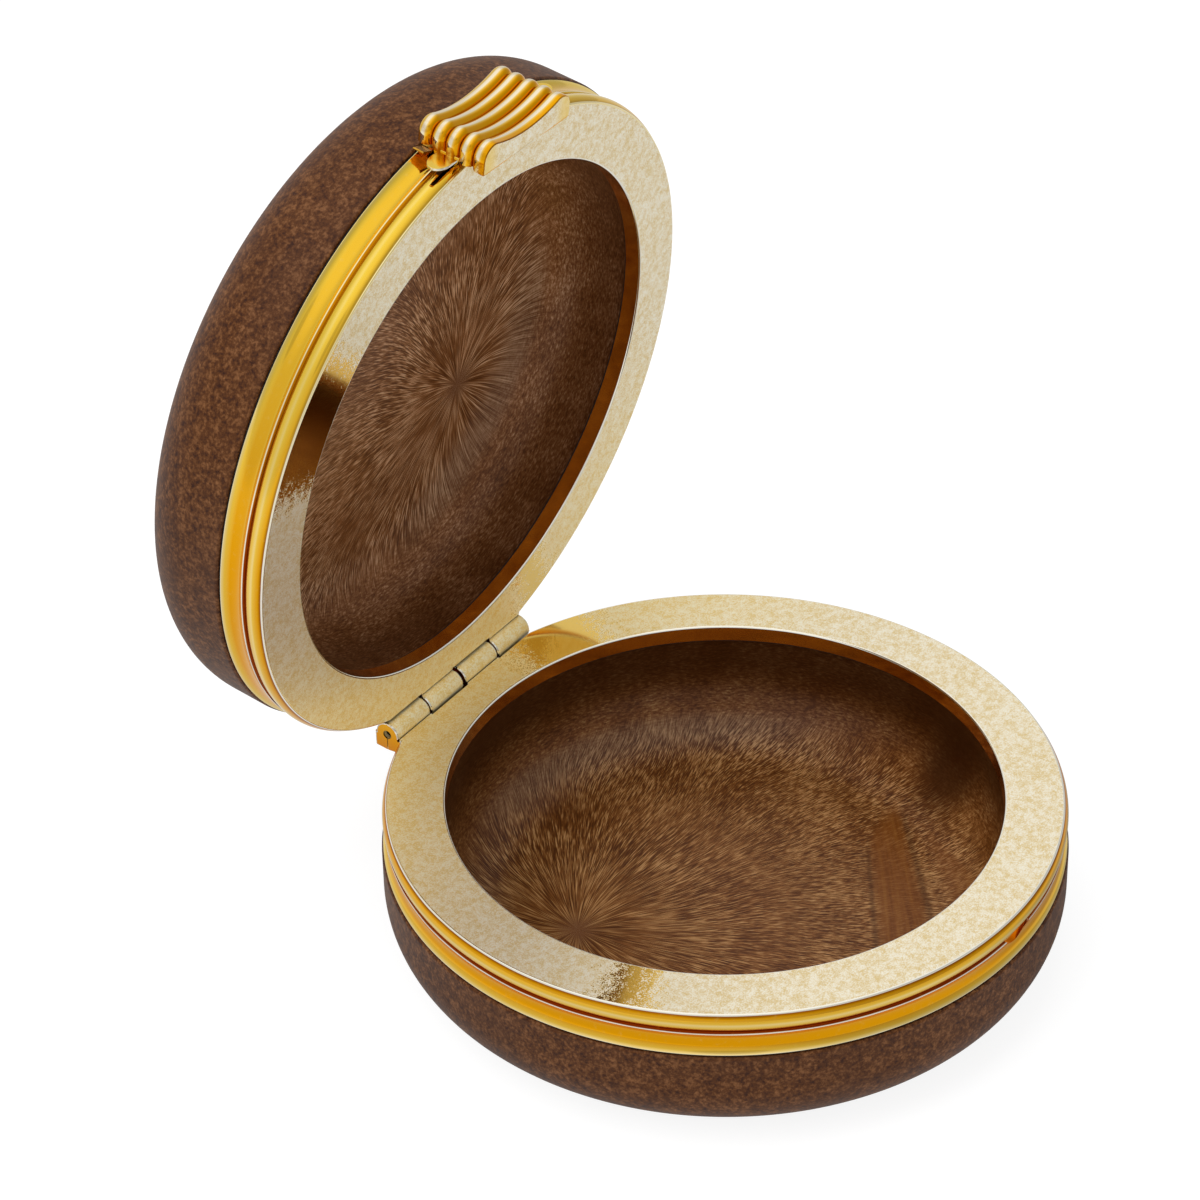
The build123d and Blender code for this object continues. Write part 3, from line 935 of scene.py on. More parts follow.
@dataclass(frozen=True)
class Finishes:
    """Every material of the case, built once."""

    base_face: Material
    lid_face: Material
    base_side: Material
    lid_side: Material
    cheek: Material
    hinge: Material
    hinge_end: Material
    clasp: Material
    rocker: Material
    base_resin: Material
    lid_resin: Material
    bond: Material
    pin: Material
    spring: Material
    # gap is dark gold painted as shade, and edge near-white gold painted as a highlight, both laid on zones
    # of other pieces.
    gap: Material
    edge: Material

    @classmethod
    def build(cls) -> "Finishes":
        """Build them all from one palette.

        Returns:
            The materials.
        """
        white, pale = shade(0.97, 0.93, 0.8), shade(0.92, 0.7, 0.26)
        yellow, orange, red = shade(0.87, 0.54, 0.06), shade(0.82, 0.36, 0.003), shade(0.3, 0.07, 0.001)
        # Colours by height over the rim's side: the near-white stops at the foot, the lip and the face edge
        # are painted highlights, the red stops in the crease under the bead and just under the face edge are
        # painted shade, and the pale bead crest and the orange cove are painted reflections over the gold's
        # own yellow.
        side = ((-5.9, white), (-5.75, pale), (-5.5, yellow), (-4.9, orange), (-3.7, orange), (-3.1, yellow),
                (-2.95, white), (-2.8, white), (-2.72, red), (-2.58, red), (-2.48, orange), (-1.8, yellow),
                (-1.35, pale), (-1.1, yellow), (-0.5, orange), (-0.24, red), (-0.16, white), (0.0, white))
        # Colours across each flute from groove to groove: the red at the grooves is painted shade, the pale
        # band on the rear of each crest a painted highlight and the orange on its front a painted reflection.
        flute_highlight = shade(0.95, 0.83, 0.6)
        flute = ((0.0, red), (0.07, orange), (0.26, shade(0.9, 0.42, 0.005)), (0.36, shade(0.93, 0.6, 0.1)),
                 (0.44, flute_highlight), (0.6, flute_highlight), (0.7, yellow), (0.94, shade(0.88, 0.5, 0.04)), (1.0, red))
        end = ((-3.0, shade(0.74, 0.24, 0.002)), (1.6, shade(0.84, 0.4, 0.02)))
        rocker = ((-4.0, yellow), (0.0, shade(0.92, 0.66, 0.12)))
        return cls(
            base_face=Frosted("gold_frosted_base", ((68.0, 9.0), (-163.0, 3.5))).build(),
            lid_face=Frosted("gold_frosted_lid", ((-29.0, 13.0), (115.0, 4.0))).build(),
            base_side=Gold("gold_side_base", side, 0.09).build(),
            lid_side=Gold("gold_side_lid", side, 0.09, pale=0.5).build(),
            cheek=Frosted("gold_frosted_cheek", hem=Clasp.end_front).build(),
            hinge=Frosted("gold_frosted_hinge", warmth=0.6).build(),
            hinge_end=Gold("gold_hinge_end", end, 0.2).build(),
            clasp=Gold("gold_clasp", flute, 0.1, Clasp.pitch, -Clasp.start_s, Clasp.side_x - 0.2).build(),
            rocker=Gold("gold_rocker", rocker, 0.1).build(),
            base_resin=Resin(
                name="resin_base",
                burst=(-16.1, 11.6),
                side=(0.584, -0.812),
                lean=0.012,
                sheen=(0.5, 0.866),
                tint=(1.0, 1.0, 1.0),
                rim_shade=0.78,
                curl=(15.5, -17.5),
            ).build(),
            lid_resin=Resin(
                name="resin_lid",
                burst=(-20.2, 14.3),
                side=(0.25, 0.97),
                lean=0.012,
                sheen=(-0.82, 0.57),
                tint=(1.3, 1.42, 2.0),
                rim_shade=0.35,
            ).build(),
            bond=Plain("bond_black", shade(0.008, 0.007, 0.006), 0.0, 0.6).build(),
            pin=Plain("pin_steel", shade(0.02, 0.014, 0.008), 1.0, 0.55).build(),
            spring=Plain("gold_spring", shade(0.8, 0.42, 0.05), 1.0, 0.2).build(),
            # Dark gold painted as shade in notches, slots and the hinge's fold, and near-white gold painted
            # as a highlight on narrow edges.
            gap=Plain("gold_in_shade", shade(0.06, 0.02, 0.003), 1.0, 0.4).build(),
            edge=Plain("gold_painted_highlight", shade(0.97, 0.92, 0.78), 1.0, 0.12).build(),
        )


@dataclass(frozen=True)
class HalfSizes:
    """Sizes that the rim and the bowl of one half share.  Heights are measured back from the face.

    Args:
        mouth_r: radius of the opening.
        face_r: radius of the flat face.
        edge_r: rounding of the face's two edges.
        plate_t: thickness of the flat ring.
        band_h: height of the whole rim.
        skirt_in_r: inner radius of the rim's skirt.
        bead_r: crest of the bead below the face.
        bead_h: height at which the bead ends.
        crease_r: radius of the crease under the bead.
        lip_r: radius of the lip.
        lip_top: height at which the lip begins.
        lip_low: height at which the lip ends.
        cove_r: deepest radius of the hollow below the lip.
        cove_h: height at which the hollow ends.
        foot_r: radius of the rim's lower edge.
        bond_t: thickness of the bond on the level.
        bond_side: thickness of the bond beside the tongue.
        shell_r: outer radius of the bowl.
        tongue_in_r: inner radius of the bowl's tongue.
        wall_in_r: widest inner radius of the bowl.
        half_h: height of the half.
        floor_h: depth of the bowl's inner floor.
        inner_corner: radius of the inner corner.
        outer_corner: radius of the outer corner's upper arc.
        belly: radius of the outer corner's lower arc.
        corner_turn: turn after which the lower arc follows, in degrees.
        shoulder: rounding of the bowl's shoulder.
        segments: steps round the axis.
    """
    mouth_r: float = 35.0
    face_r: float = 42.5
    edge_r: float = 0.25
    plate_t: float = 2.2
    band_h: float = 5.9
    skirt_in_r: float = 41.1
    bead_r: float = 42.95
    bead_h: float = 2.6
    crease_r: float = 42.35
    lip_r: float = 42.75
    lip_top: float = 2.75
    lip_low: float = 2.9
    cove_r: float = 42.3
    cove_h: float = 5.8
    foot_r: float = 43.0
    bond_t: float = 0.3
    bond_side: float = 0.15
    shell_r: float = 43.2
    tongue_in_r: float = 36.0
    wall_in_r: float = 36.4
    half_h: float = 21.2
    floor_h: float = 16.8
    inner_corner: float = 10.0
    outer_corner: float = 9.1
    belly: float = 12.1
    corner_turn: float = 50.0
    shoulder: float = 0.35
    segments: int = 384


@dataclass
class Half:
    """One half of the case: a turned rim, the bowl bonded into it and the line of bond between them.

    Args:
        name: prefix of the CAD nodes, and the body that the pieces ride on.
        place: where it stands.
        finishes: the materials.
        face: material of the rim's flat face.
        side: material of the rim's turned side.
        resin: material of the bowl.
        cutters: shapes cut from the rim.
        sizes: driving sizes.
    """

    name: str
    place: Place
    finishes: Finishes
    face: Material
    side: Material
    resin: Material
    cutters: list[Shape]
    sizes: HalfSizes = HalfSizes()

    def rim_outline(self) -> Array:
        """Section of the rim: flat face, bead, crease, lip, cove and foot, then back up inside the skirt.

        Returns:
            Points of (radius, height).
        """
        s = self.sizes
        nip, lip = QUARTER_RISE * s.edge_r, 0.05
        bead_rise = s.bead_r - (s.face_r + s.crease_r) / 2
        cove_rise = (s.lip_r + s.foot_r) / 2 - s.cove_r
        return chain(
            line((s.mouth_r, -s.plate_t), (s.mouth_r, -s.edge_r)),
            bow((s.mouth_r, -s.edge_r), (s.mouth_r + s.edge_r, 0), nip, 6),
            line((s.mouth_r + s.edge_r, 0), (s.face_r - s.edge_r, 0)),
            bow((s.face_r - s.edge_r, 0), (s.face_r, -s.edge_r), nip, 8),
            bow((s.face_r, -s.edge_r), (s.crease_r, -s.bead_h), bead_rise, 20),
            line((s.crease_r, -s.bead_h), (s.lip_r - lip, -s.lip_top + 0.3 * lip), 0.03),
            bow((s.lip_r - lip, -s.lip_top + 0.3 * lip), (s.lip_r, -s.lip_top - lip), 0.3 * lip, 4),
            line((s.lip_r, -s.lip_top - lip), (s.lip_r, -s.lip_low)),
            bow((s.lip_r, -s.lip_low), (s.foot_r, -s.cove_h), -cove_rise, 20),
            line((s.foot_r, -s.cove_h), (s.foot_r, -s.band_h + lip)),
            bow((s.foot_r, -s.band_h + lip), (s.foot_r - lip, -s.band_h), QUARTER_RISE * lip, 3),
            line((s.foot_r - lip, -s.band_h), (s.skirt_in_r, -s.band_h)),
            line((s.skirt_in_r, -s.band_h), (s.skirt_in_r, -s.plate_t)),
            line((s.skirt_in_r, -s.plate_t), (s.mouth_r + 0.01, -s.plate_t)),
        )

    def bowl_outline(self) -> Array:
        """Section of the bowl from the inside floor, over the tongue, round the outside to the bottom.

        Returns:
            Points of (radius, height).
        """
        s = self.sizes
        tongue_r, tongue_top = s.skirt_in_r - s.bond_side, -s.plate_t - s.bond_t
        shoulder_h = -s.band_h - s.bond_t
        turn = math.radians(s.corner_turn)
        corner_top = -s.half_h + s.outer_corner * math.sin(turn) + s.belly * (1 - math.sin(turn))
        high = np.array([s.shell_r - s.outer_corner, corner_top])
        upper = high + arc(s.outer_corner, 0, -turn, 16)
        low = high + (s.outer_corner - s.belly) * np.array([math.cos(turn), -math.sin(turn)])
        lower = low + arc(s.belly, -turn, -math.pi / 2, 14)
        flat_in = s.wall_in_r - s.inner_corner
        centre = np.array([flat_in, -s.floor_h + s.inner_corner])
        inner = centre + arc(s.inner_corner, -math.pi / 2, 0, 24)
        floor = np.stack([np.linspace(0, flat_in, 30), np.full(30, -s.floor_h)], axis=-1)
        bottom = np.stack([np.linspace(lower[-1, 0], 0, 10), np.full(10, -s.half_h)], axis=-1)
        edge = s.shell_r - s.shoulder
        return chain(
            floor,
            inner,
            line((s.wall_in_r, centre[1]), (s.tongue_in_r, tongue_top)),
            line((s.tongue_in_r, tongue_top), (tongue_r, tongue_top)),
            line((tongue_r, tongue_top), (tongue_r, shoulder_h)),
            line((tongue_r, shoulder_h), (edge, shoulder_h)),
            bow((edge, shoulder_h), (s.shell_r, shoulder_h - s.shoulder), QUARTER_RISE * s.shoulder, 6),
            line((s.shell_r, shoulder_h - s.shoulder), (s.shell_r, corner_top)),
            upper,
            lower,
            bottom,
        )

    def rim(self) -> Piece:
        """Turn the rim, mark its flat face and cut the places of the hinge and the clasp or catch.

        Returns:
            The rim.
        """
        outline = self.rim_outline()
        shape = lathe(outline, self.sizes.segments)
        flat = (outline[:, 1] > -NEAR) & (np.roll(outline, -1, axis=0)[:, 1] > -NEAR)
        zones = np.where(flat, Zone.FACE.value, Zone.SIDE.value)
        shape.zones = np.tile(zones, self.sizes.segments).tolist()
        piece = build_mesh(f"{self.name}_rim_turned", shape, self.place)
        # The third slot is dark gold: painted shade on the walls that the cutters leave.
        give(piece, self.face, self.side, self.finishes.gap)
        carve(piece, self.cutters, self.place)
        return self.keep(piece, "rim", "rim_gold")

    def bowl(self) -> Piece:
        """Turn the bowl.

        Returns:
            The bowl.
        """
        piece = build_mesh(f"{self.name}_bowl", lathe(self.bowl_outline(), self.sizes.segments), self.place)
        give(piece, self.resin)
        return self.keep(piece, "shell", "resin")

    def keep(self, piece: Piece, node: str, slot: str) -> Piece:
        """Let a piece ride on the half and stand for its CAD node.

        Args:
            piece: the piece.
            node: the node's name without the half's own.
            slot: material slot of the node; not used.

        Returns:
            The same piece.
        """
        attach(piece, self.name)
        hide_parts(f"{self.name}_{node}")
        return piece

    def build(self) -> list[Piece]:
        """Build and dress the half.

        Returns:
            The rim and the bowl.
        """
        dress(f"{self.name}_bond", self.finishes.bond)
        return [self.rim(), self.bowl()]


def dress(node: str, material: Material) -> None:
    """Give a CAD node its material.

    Args:
        node: name of the node.
        material: the one material that it gets.
    """
    piece = bpy.data.objects[node]
    piece.data.materials.clear()
    give(piece, material)


def box(x: Pair, y: Pair, z: Pair) -> Shape:
    """A closed box between two values of each coordinate."""
    return extrude(np.array([(x[0], y[0]), (x[1], y[0]), (x[1], y[1]), (x[0], y[1])], float), *z)


@dataclass
class Hinge:
    """Four folded knuckles in the order base, lid, base, lid, and the pin through them.

    Args:
        places: the two halves' places by name.
        finishes: the materials.
        pin_y: distance of the pin from a half's centre.
        pin_z: height of the pin over each face.
        radius: radius of the barrels.
        length: length of a knuckle.
        gap: gap between two knuckles side by side.
        middle_gap: gap between the second and the third knuckle.
        back: flat back of a knuckle, from the pin's axis.
        foot: flat foot of a knuckle, from the pin's axis.
        leaf_front: front end of the leaf in its rim, from the pin's axis.
        notch_front: front wall of the facing notch, from the pin's axis.
        notch_deep: floor of the facing notch, from the pin's axis.
        bore_r: radius of the bore.
        seam: width of the slit where the fold closes.
        edge: rounding of the barrels' ends.
        crease: depth of the fold line between leaf and barrel.
        corner: rounding of the corner between back and foot.
        reach: how far the cutters go past the rim.
    """

    places: dict[str, Place]
    finishes: Finishes
    pin_y: float = 42.15
    pin_z: float = 0.075
    radius: float = 1.75
    length: float = 6.95
    gap: float = 0.2
    middle_gap: float = 0.5
    back: float = 1.95
    foot: float = 2.35
    leaf_front: float = 2.2
    notch_front: float = 2.15
    notch_deep: float = 2.0
    bore_r: float = 0.62
    seam: float = 0.12
    edge: float = 0.2
    crease: float = 0.3
    corner: float = 0.3
    reach: float = 4.0

    def own_x(self) -> Pair:
        """Middles of the two knuckles that one half carries, in its own frame."""
        inner = self.middle_gap / 2 + self.length / 2
        return -(inner + self.length + self.gap), inner

    def cutters(self) -> list[Shape]:
        """Notches in a rim: for the leaves of its own knuckles, for the facing ones and between them.

        Returns:
            Closed shapes in the half's own frame, no two with an outer side in one plane where they overlap.
        """
        far, near = self.own_x()
        half, apart = self.length / 2, 0.3
        wide, narrow = half + self.gap, self.middle_gap / 2 + 0.02
        top, back = self.pin_z + self.reach, self.pin_y + self.reach
        leaf_y, leaf_z = (self.pin_y - self.leaf_front, back), (self.pin_z - self.foot, top)
        notch_y = (self.pin_y - self.notch_front, back + apart)
        notch_z = (self.pin_z - self.notch_deep, top + apart)
        own = [box((x - half, x + half), leaf_y, leaf_z) for x in (far, near)]
        middles = ((-near, wide), (-far, wide), (0.0, narrow))
        return own + [box((x - w, x + w), notch_y, notch_z) for x, w in middles]

    def knuckle(self) -> Shape:
        """One knuckle about the pin, in coordinates back, up and along.

        The outline is a C: outside from the seam round the barrel to the seam again, then back along the
        bore.  It is round over the pin and flat at the back, the foot and the leaf's top.

        Returns:
            The knuckle, with the fold line as a zone of painted shade and the rounded ends as a zone of
            painted highlight.
        """
        top = -self.pin_z
        side, low = math.sqrt(self.radius**2 - top**2), top - self.crease
        slit = self.seam / 2
        lean = math.asin(slit / self.bore_r)
        barrel = arc(self.radius, math.asin(top / self.radius), math.pi - math.asin(low / self.radius), 48)
        bore = arc(self.bore_r, -math.pi / 2 - lean, -2.5 * math.pi + lean, 33)
        under, nip = self.foot - self.corner, QUARTER_RISE * self.corner
        outline = chain(
            [(slit, -self.foot)],
            bow((self.back - self.corner, -self.foot), (self.back, -under), -nip, 4),
            [(self.back, top)],
            barrel,
            [(-side - 0.5 * self.crease, top), (-self.leaf_front, top), (-self.leaf_front, -self.foot)],
            [(-slit, -self.foot)],
            bore,
        )
        in_bore = np.linalg.norm(outline, axis=1) < self.bore_r + 0.05
        inner = in_bore | (np.abs(outline[:, 0]) < slit + NEAR)
        steps = 4
        shape = extrude(outline, -self.length / 2, self.length / 2, self.edge, steps, inner)
        # The rounded ends get the painted highlight, three columns at the fold the painted shade of its
        # crease, and the two end faces the orange end gold.
        zones = np.full((2 * steps + 1, len(outline)), Zone.EDGE.value)
        zones[steps] = Zone.FACE.value
        fold = int(np.argmin(np.linalg.norm(outline - barrel[-1], axis=1)))
        zones[:, fold - 2:fold + 1] = Zone.PAINTED_SHADE.value
        shape.zones = zones.ravel().tolist() + [Zone.SIDE.value] * 2
        return shape

    def build(self) -> list[Piece]:
        """Build the knuckles in the order of their numbers and dress the pin.

        Returns:
            The knuckles.
        """
        far, near = self.own_x()
        # Slots: frosted barrel, orange end faces, dark gold as painted shade, near-white gold as painted
        # highlight.
        finishes = (self.finishes.hinge, self.finishes.hinge_end, self.finishes.gap, self.finishes.edge)
        made = []
        for number, (body, x) in enumerate((("base", far), ("lid", near), ("base", near), ("lid", far)), 1):
            shape = self.knuckle().swapped([2, 0, 1])
            shape.points = shape.points + np.array([x, self.pin_y, self.pin_z])
            piece = build_mesh(f"knuckle_{number}", shape, self.places[body], 28.0)
            give(piece, *finishes)
            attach(piece, body)
            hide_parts(f"hinge_knuckle_{number}")
            made.append(piece)
        dress("hinge_pin", self.finishes.pin)
        return made


@dataclass
class Clasp:
    """Fluted thumb piece on a half-round rocker bar in the lid's rim.

    s runs from the lid's face into the lid and rho is the distance out from the lid's centre, so that a
    local point is (x, -rho, -s).

    Args:
        place: the lid's place.
        finishes: the materials.
        pivot_s: depth of the rocker's axis.
        pivot_rho: distance of the rocker's axis from the centre.
        rocker_r: radius of the half-round bar.
        rocker_half: half length of the tab over the bar.
        bar_half: half length of the bar.
        tab_s: front and rear edge of the tab.
        tab_rho: top of the tab.
        tab_t: thickness of the tab.
        tab_round: length of the tab's round ends.
        play: play between the bar and its trough.
        trough_half: half length of the trough.
        flutes: number of flutes.
        pitch: distance between two flutes.
        start_s: free edge of the thumb piece.
        crest: height of a flute's crest over the inner line.
        valley: height of a groove over the inner line.
        saddle_rho: inner line at its lowest, in the middle.
        crest_rho: inner line at its highest, at the two horns.
        horn_r: radius of the inner line round a horn.
        side_x: inner face of the turned-down ends.
        end_rho: lower edge of the ends at the rear.
        end_front: lower edge of the ends at the front.
        cheek_t: thickness of the cheek that closes the free edge.
        cheek_r: radius of the cheek's lower edge.
        cheek_edge: rounding of the cheek's edges.
        web_s: half thickness of the web between bar and thumb piece.
        web_share: width of the web as a share of the thumb piece's.
        slot_s: depth of the two slots beside the trough.
        slot_w: width of a slot.
        slot_floor: floor of a slot.
        slot_x: where a slot begins and ends.
        reach: how far the cutters go past the rim.
    """

    place: Place
    finishes: Finishes
    pivot_s: float = 2.1
    pivot_rho: float = 43.5
    rocker_r: float = 1.85
    rocker_half: float = 11.8
    bar_half: float = 8.4
    tab_s: Pair = (0.4, 3.2)
    tab_rho: float = 43.3
    tab_t: float = 0.4
    tab_round: float = 2.0
    play: float = 0.08
    trough_half: float = 10.8
    flutes: int = 5
    pitch: float = 2.0
    start_s: float = -3.5
    crest: float = 1.35
    valley: float = 0.6
    saddle_rho: float = 43.95
    crest_rho: float = 45.05
    horn_r: float = 0.6
    side_x: float = 7.25
    end_rho: float = 43.38
    end_front: float = 42.85
    cheek_t: float = 0.95
    cheek_r: float = 42.99
    cheek_edge: float = 0.12
    web_s: float = 0.95
    web_share: float = 0.85
    slot_s: float = 1.2
    slot_w: float = 0.5
    slot_floor: float = 41.2
    slot_x: Pair = (7.6, 13.0)
    reach: float = 4.0

    def cutters(self) -> list[Shape]:
        """The rocker's trough and the two slots beside it.

        Returns:
            Closed shapes in the lid's own frame.
        """
        axis = np.array([-self.pivot_rho, -self.pivot_s])
        circle = axis + arc(self.rocker_r + self.play, 0, 2 * math.pi, 65)[:-1]
        trough = extrude(circle, -self.trough_half, self.trough_half).swapped([2, 0, 1])
        low, high = self.slot_x
        width = (-self.slot_floor - self.reach, -self.slot_floor)
        depth = (-self.slot_s - self.slot_w / 2, -self.slot_s + self.slot_w / 2)
        return [trough, box((-high, -low), width, depth), box((low, high), width, depth)]

    def path(self, low: float) -> tuple[Array, Array]:
        """Inner line of the thumb piece, up one end, round a horn, through the saddle and down again.

        The saddle's arc touches both horns: its radius is (hx*hx + d*d - hr*hr) / (2*(hr + d)), where hx is
        half the distance between the horns' centres, d their height over the saddle and hr their radius.

        Args:
            low: height of the two ends.

        Returns:
            Points (x, rho) and outward unit normals.
        """
        horn_x, horn_y = self.side_x - self.horn_r, self.crest_rho - self.horn_r
        dip = horn_y - self.saddle_rho
        radius = (horn_x**2 + dip**2 - self.horn_r**2) / (2 * (self.horn_r + dip))
        half = math.atan2(horn_x, radius - dip)
        height = np.linspace(low, horn_y, END_ROWS, endpoint=False)
        side = np.stack([np.full(END_ROWS, -self.side_x), height], axis=-1)
        side_out = np.tile([-1.0, 0.0], (END_ROWS, 1))
        angle = np.linspace(np.pi, np.pi / 2 - half, 22)
        horn_out = np.stack([np.cos(angle), np.sin(angle)], axis=-1)
        horn = np.array([-horn_x, horn_y]) + self.horn_r * horn_out
        sweep = np.linspace(half, 0, 26)[1:]
        saddle_out = np.stack([np.sin(sweep), np.cos(sweep)], axis=-1)
        saddle = np.array([0.0, self.saddle_rho + radius]) - radius * saddle_out
        points = np.vstack([side, horn, saddle])
        outward = np.vstack([side_out, horn_out, saddle_out])
        mirror = np.array([-1.0, 1.0])
        points = np.vstack([points, points[-2::-1] * mirror])
        outward = np.vstack([outward, outward[-2::-1] * mirror])
        return points, outward

    def flute_section(self) -> Array:
        """Closed section of the thumb piece: one arc for each flute, the front one cut off square.

        Returns:
            Points of (s, height over the inner line).
        """
        front, rear = self.start_s, self.start_s + self.flutes * self.pitch
        rise = self.crest - self.valley
        starts = front + self.pitch * np.arange(self.flutes)
        crests = [bow((s + self.pitch, self.valley), (s, self.valley), -rise, 14) for s in starts[::-1]]
        crests[-1] = crests[-1][:8]
        flat_to, nip, drop = front + 0.35 * self.pitch, 0.12, 0.14
        shoulder = [(flat_to, self.crest), (front + nip, self.crest - 0.02), (front, self.crest - drop)]
        under = line((front, 0.02), (rear, 0.0))
        return chain(under, line((rear, 0.0), (rear, self.valley)), *crests, shoulder, [(front, 0.06)])

    def skin(self) -> Shape:
        """The fluted sheet: the section carried along the path, P + N*height.

        Below the horns its heights are stretched, so that the ends reach lower the closer they are to the
        free edge.

        Returns:
            The sheet.
        """
        points, outward = self.path(self.end_rho)
        section = self.flute_section()
        flat = points[:, None, :] + outward[:, None, :] * section[None, :, 1:2]
        s = np.broadcast_to(section[None, :, 0:1], flat.shape[:2] + (1,))
        horn = self.crest_rho - self.horn_r
        share = np.clip((s[..., 0] - self.start_s) / (self.flutes * self.pitch), 0, 1)
        low = self.end_front + (self.end_rho - self.end_front) * share
        below = flat[..., 1] < horn
        stretched = horn - (horn - flat[..., 1]) * (horn - low) / (horn - self.end_rho)
        ends = np.zeros(len(points), bool)
        ends[:END_ROWS] = ends[-END_ROWS:] = True
        flat[..., 1] = np.where(ends[:, None] & below, stretched, flat[..., 1])
        grid = np.concatenate([flat[..., 0:1], -flat[..., 1:2], -s], axis=-1).reshape(-1, 3)
        faces = tube_faces(len(points), len(section))
        return Shape(grid, faces, [0] * len(faces))

    def cheek(self) -> Shape:
        """The plate that closes the free edge, with sharp lower corners and a frosted front.

        Returns:
            The plate.
        """
        top, top_out = self.path(self.end_front)
        top = top + top_out * (self.crest - 0.1)
        corner = top[-1, 0]
        x = np.linspace(corner, -corner, 40)[1:-1]
        lower = np.stack([x, np.maximum(np.sqrt(self.cheek_r**2 - x**2), self.end_front)], axis=-1)
        outline = np.vstack([top, lower])[::-1]
        steps, ring = 4, len(outline)
        sharp = np.arange(ring) < len(lower)
        front, back = self.start_s - 0.03, self.start_s + self.cheek_t
        plate = extrude(outline, front, back, self.cheek_edge, steps, sharp).swapped([0, 1, 2], (1, -1, -1))
        plate.zones = [1] * (ring * steps) + [0] * (ring * (steps + 1)) + [1, 1]
        return plate

    def thumb_piece(self) -> Piece:
        """Join the fluted sheet and its cheek.

        Returns:
            The thumb piece.
        """
        whole = self.skin().outward().joined(self.cheek().outward())
        piece = build_mesh("thumb_piece", whole, self.place, 40.0)
        give(piece, self.finishes.clasp, self.finishes.cheek)
        return self.keep(piece, "clasp_thumb_piece")

    def rocker(self) -> Piece:
        """The half-round bar, the tab that stands out at both ends and the web that carries the thumb piece.

        Returns:
            The rocker.
        """
        half_round = np.array([self.pivot_s, self.pivot_rho]) + arc(self.rocker_r, -math.pi, 0, 40)
        bar = extrude(half_round, -self.bar_half, self.bar_half).swapped([2, 1, 0])
        front, rear = self.tab_s
        middle = np.array([self.rocker_half - self.tab_round, (front + rear) / 2])
        right = middle + arc(1.0, -math.pi / 2, math.pi / 2, 28) * [self.tab_round, (rear - front) / 2]
        plan = np.vstack([right, (right * [-1, 1])[::-1]])
        tab = extrude(plan, self.tab_rho - self.tab_t, self.tab_rho).swapped([0, 2, 1])
        top, _ = self.path(self.tab_rho)
        web = extrude(top * [self.web_share, 1.0], self.pivot_s - self.web_s, self.pivot_s + self.web_s)
        whole = Shape(np.zeros((0, 3)), [])
        for part in (bar, tab, web):
            whole = whole.joined(part.swapped([0, 1, 2], (1, -1, -1)).outward())
        # The tab's thin sides take the second slot, a painted highlight along its edge.
        zones = np.zeros(len(whole.faces), int)
        zones[len(bar.faces):len(bar.faces) + len(tab.faces) - 2] = 1
        whole.zones = zones.tolist()
        piece = build_mesh("rocker_bar", whole, self.place, 40.0)
        give(piece, self.finishes.rocker, self.finishes.edge)
        soften(piece, 0.08)
        return self.keep(piece, "clasp_rocker")

    def keep(self, piece: Piece, node: str) -> Piece:
        """Let a piece ride on the clasp and stand for its CAD node.

        Args:
            piece: the piece.
            node: name of the node.

        Returns:
            The same piece.
        """
        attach(piece, "clasp")
        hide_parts(node)
        return piece

    def build(self) -> list[Piece]:
        """Build the clasp and dress the hook and the spring.

        Returns:
            The thumb piece and the rocker.
        """
        dress("latch_hook", self.finishes.hinge)
        dress("clasp_spring", self.finishes.spring)
        return [self.thumb_piece(), self.rocker()]


def catch_cutter() -> Shape:
    """The hook's pocket in the base rim: straight along the bead, curved below.

    Returns:
        A closed shape in the base's own frame.
    """
    half, top, low, floor_y, reach = 2.75, -2.6, -4.3, -41.9, 4.0
    outline = chain(line((-half, top), (half, top)), bow((half, top), (-half, top), top - low, 24)[:-1])
    shape = extrude(outline, floor_y - reach, floor_y).swapped([0, 2, 1])
    shape.zones = [Zone.SIDE.value] * len(shape.faces)
    return shape


@dataclass(frozen=True)
class Lamp:
    """A square soft lamp.

    Args:
        name: name of the lamp.
        spot: where it stands, in metres.
        size: side length in metres.
        power: power in watts.
    """

    name: str
    spot: Triple
    size: float
    power: float

    def build(self) -> None:
        """Hang the lamp, aimed at the middle of the case and unseen in the metal."""
        data = bpy.data.lights.new(self.name, "AREA")
        data.size, data.energy = self.size, self.power
        lamp = bpy.data.objects.new(self.name, data)
        aim = np.array([0.0, 0.02, 0.04]) - np.array(self.spot)
        back = -aim / np.linalg.norm(aim)
        right = np.cross([0.1, 0.2, 1.0], back)
        right /= np.linalg.norm(right)
        axes = np.stack([right, np.cross(back, right), back], axis=1)
        lamp.matrix_world = Matrix.Translation(self.spot) @ Matrix(axes.tolist()).to_4x4()
        lamp.visible_glossy = False
        bpy.context.scene.collection.objects.link(lamp)


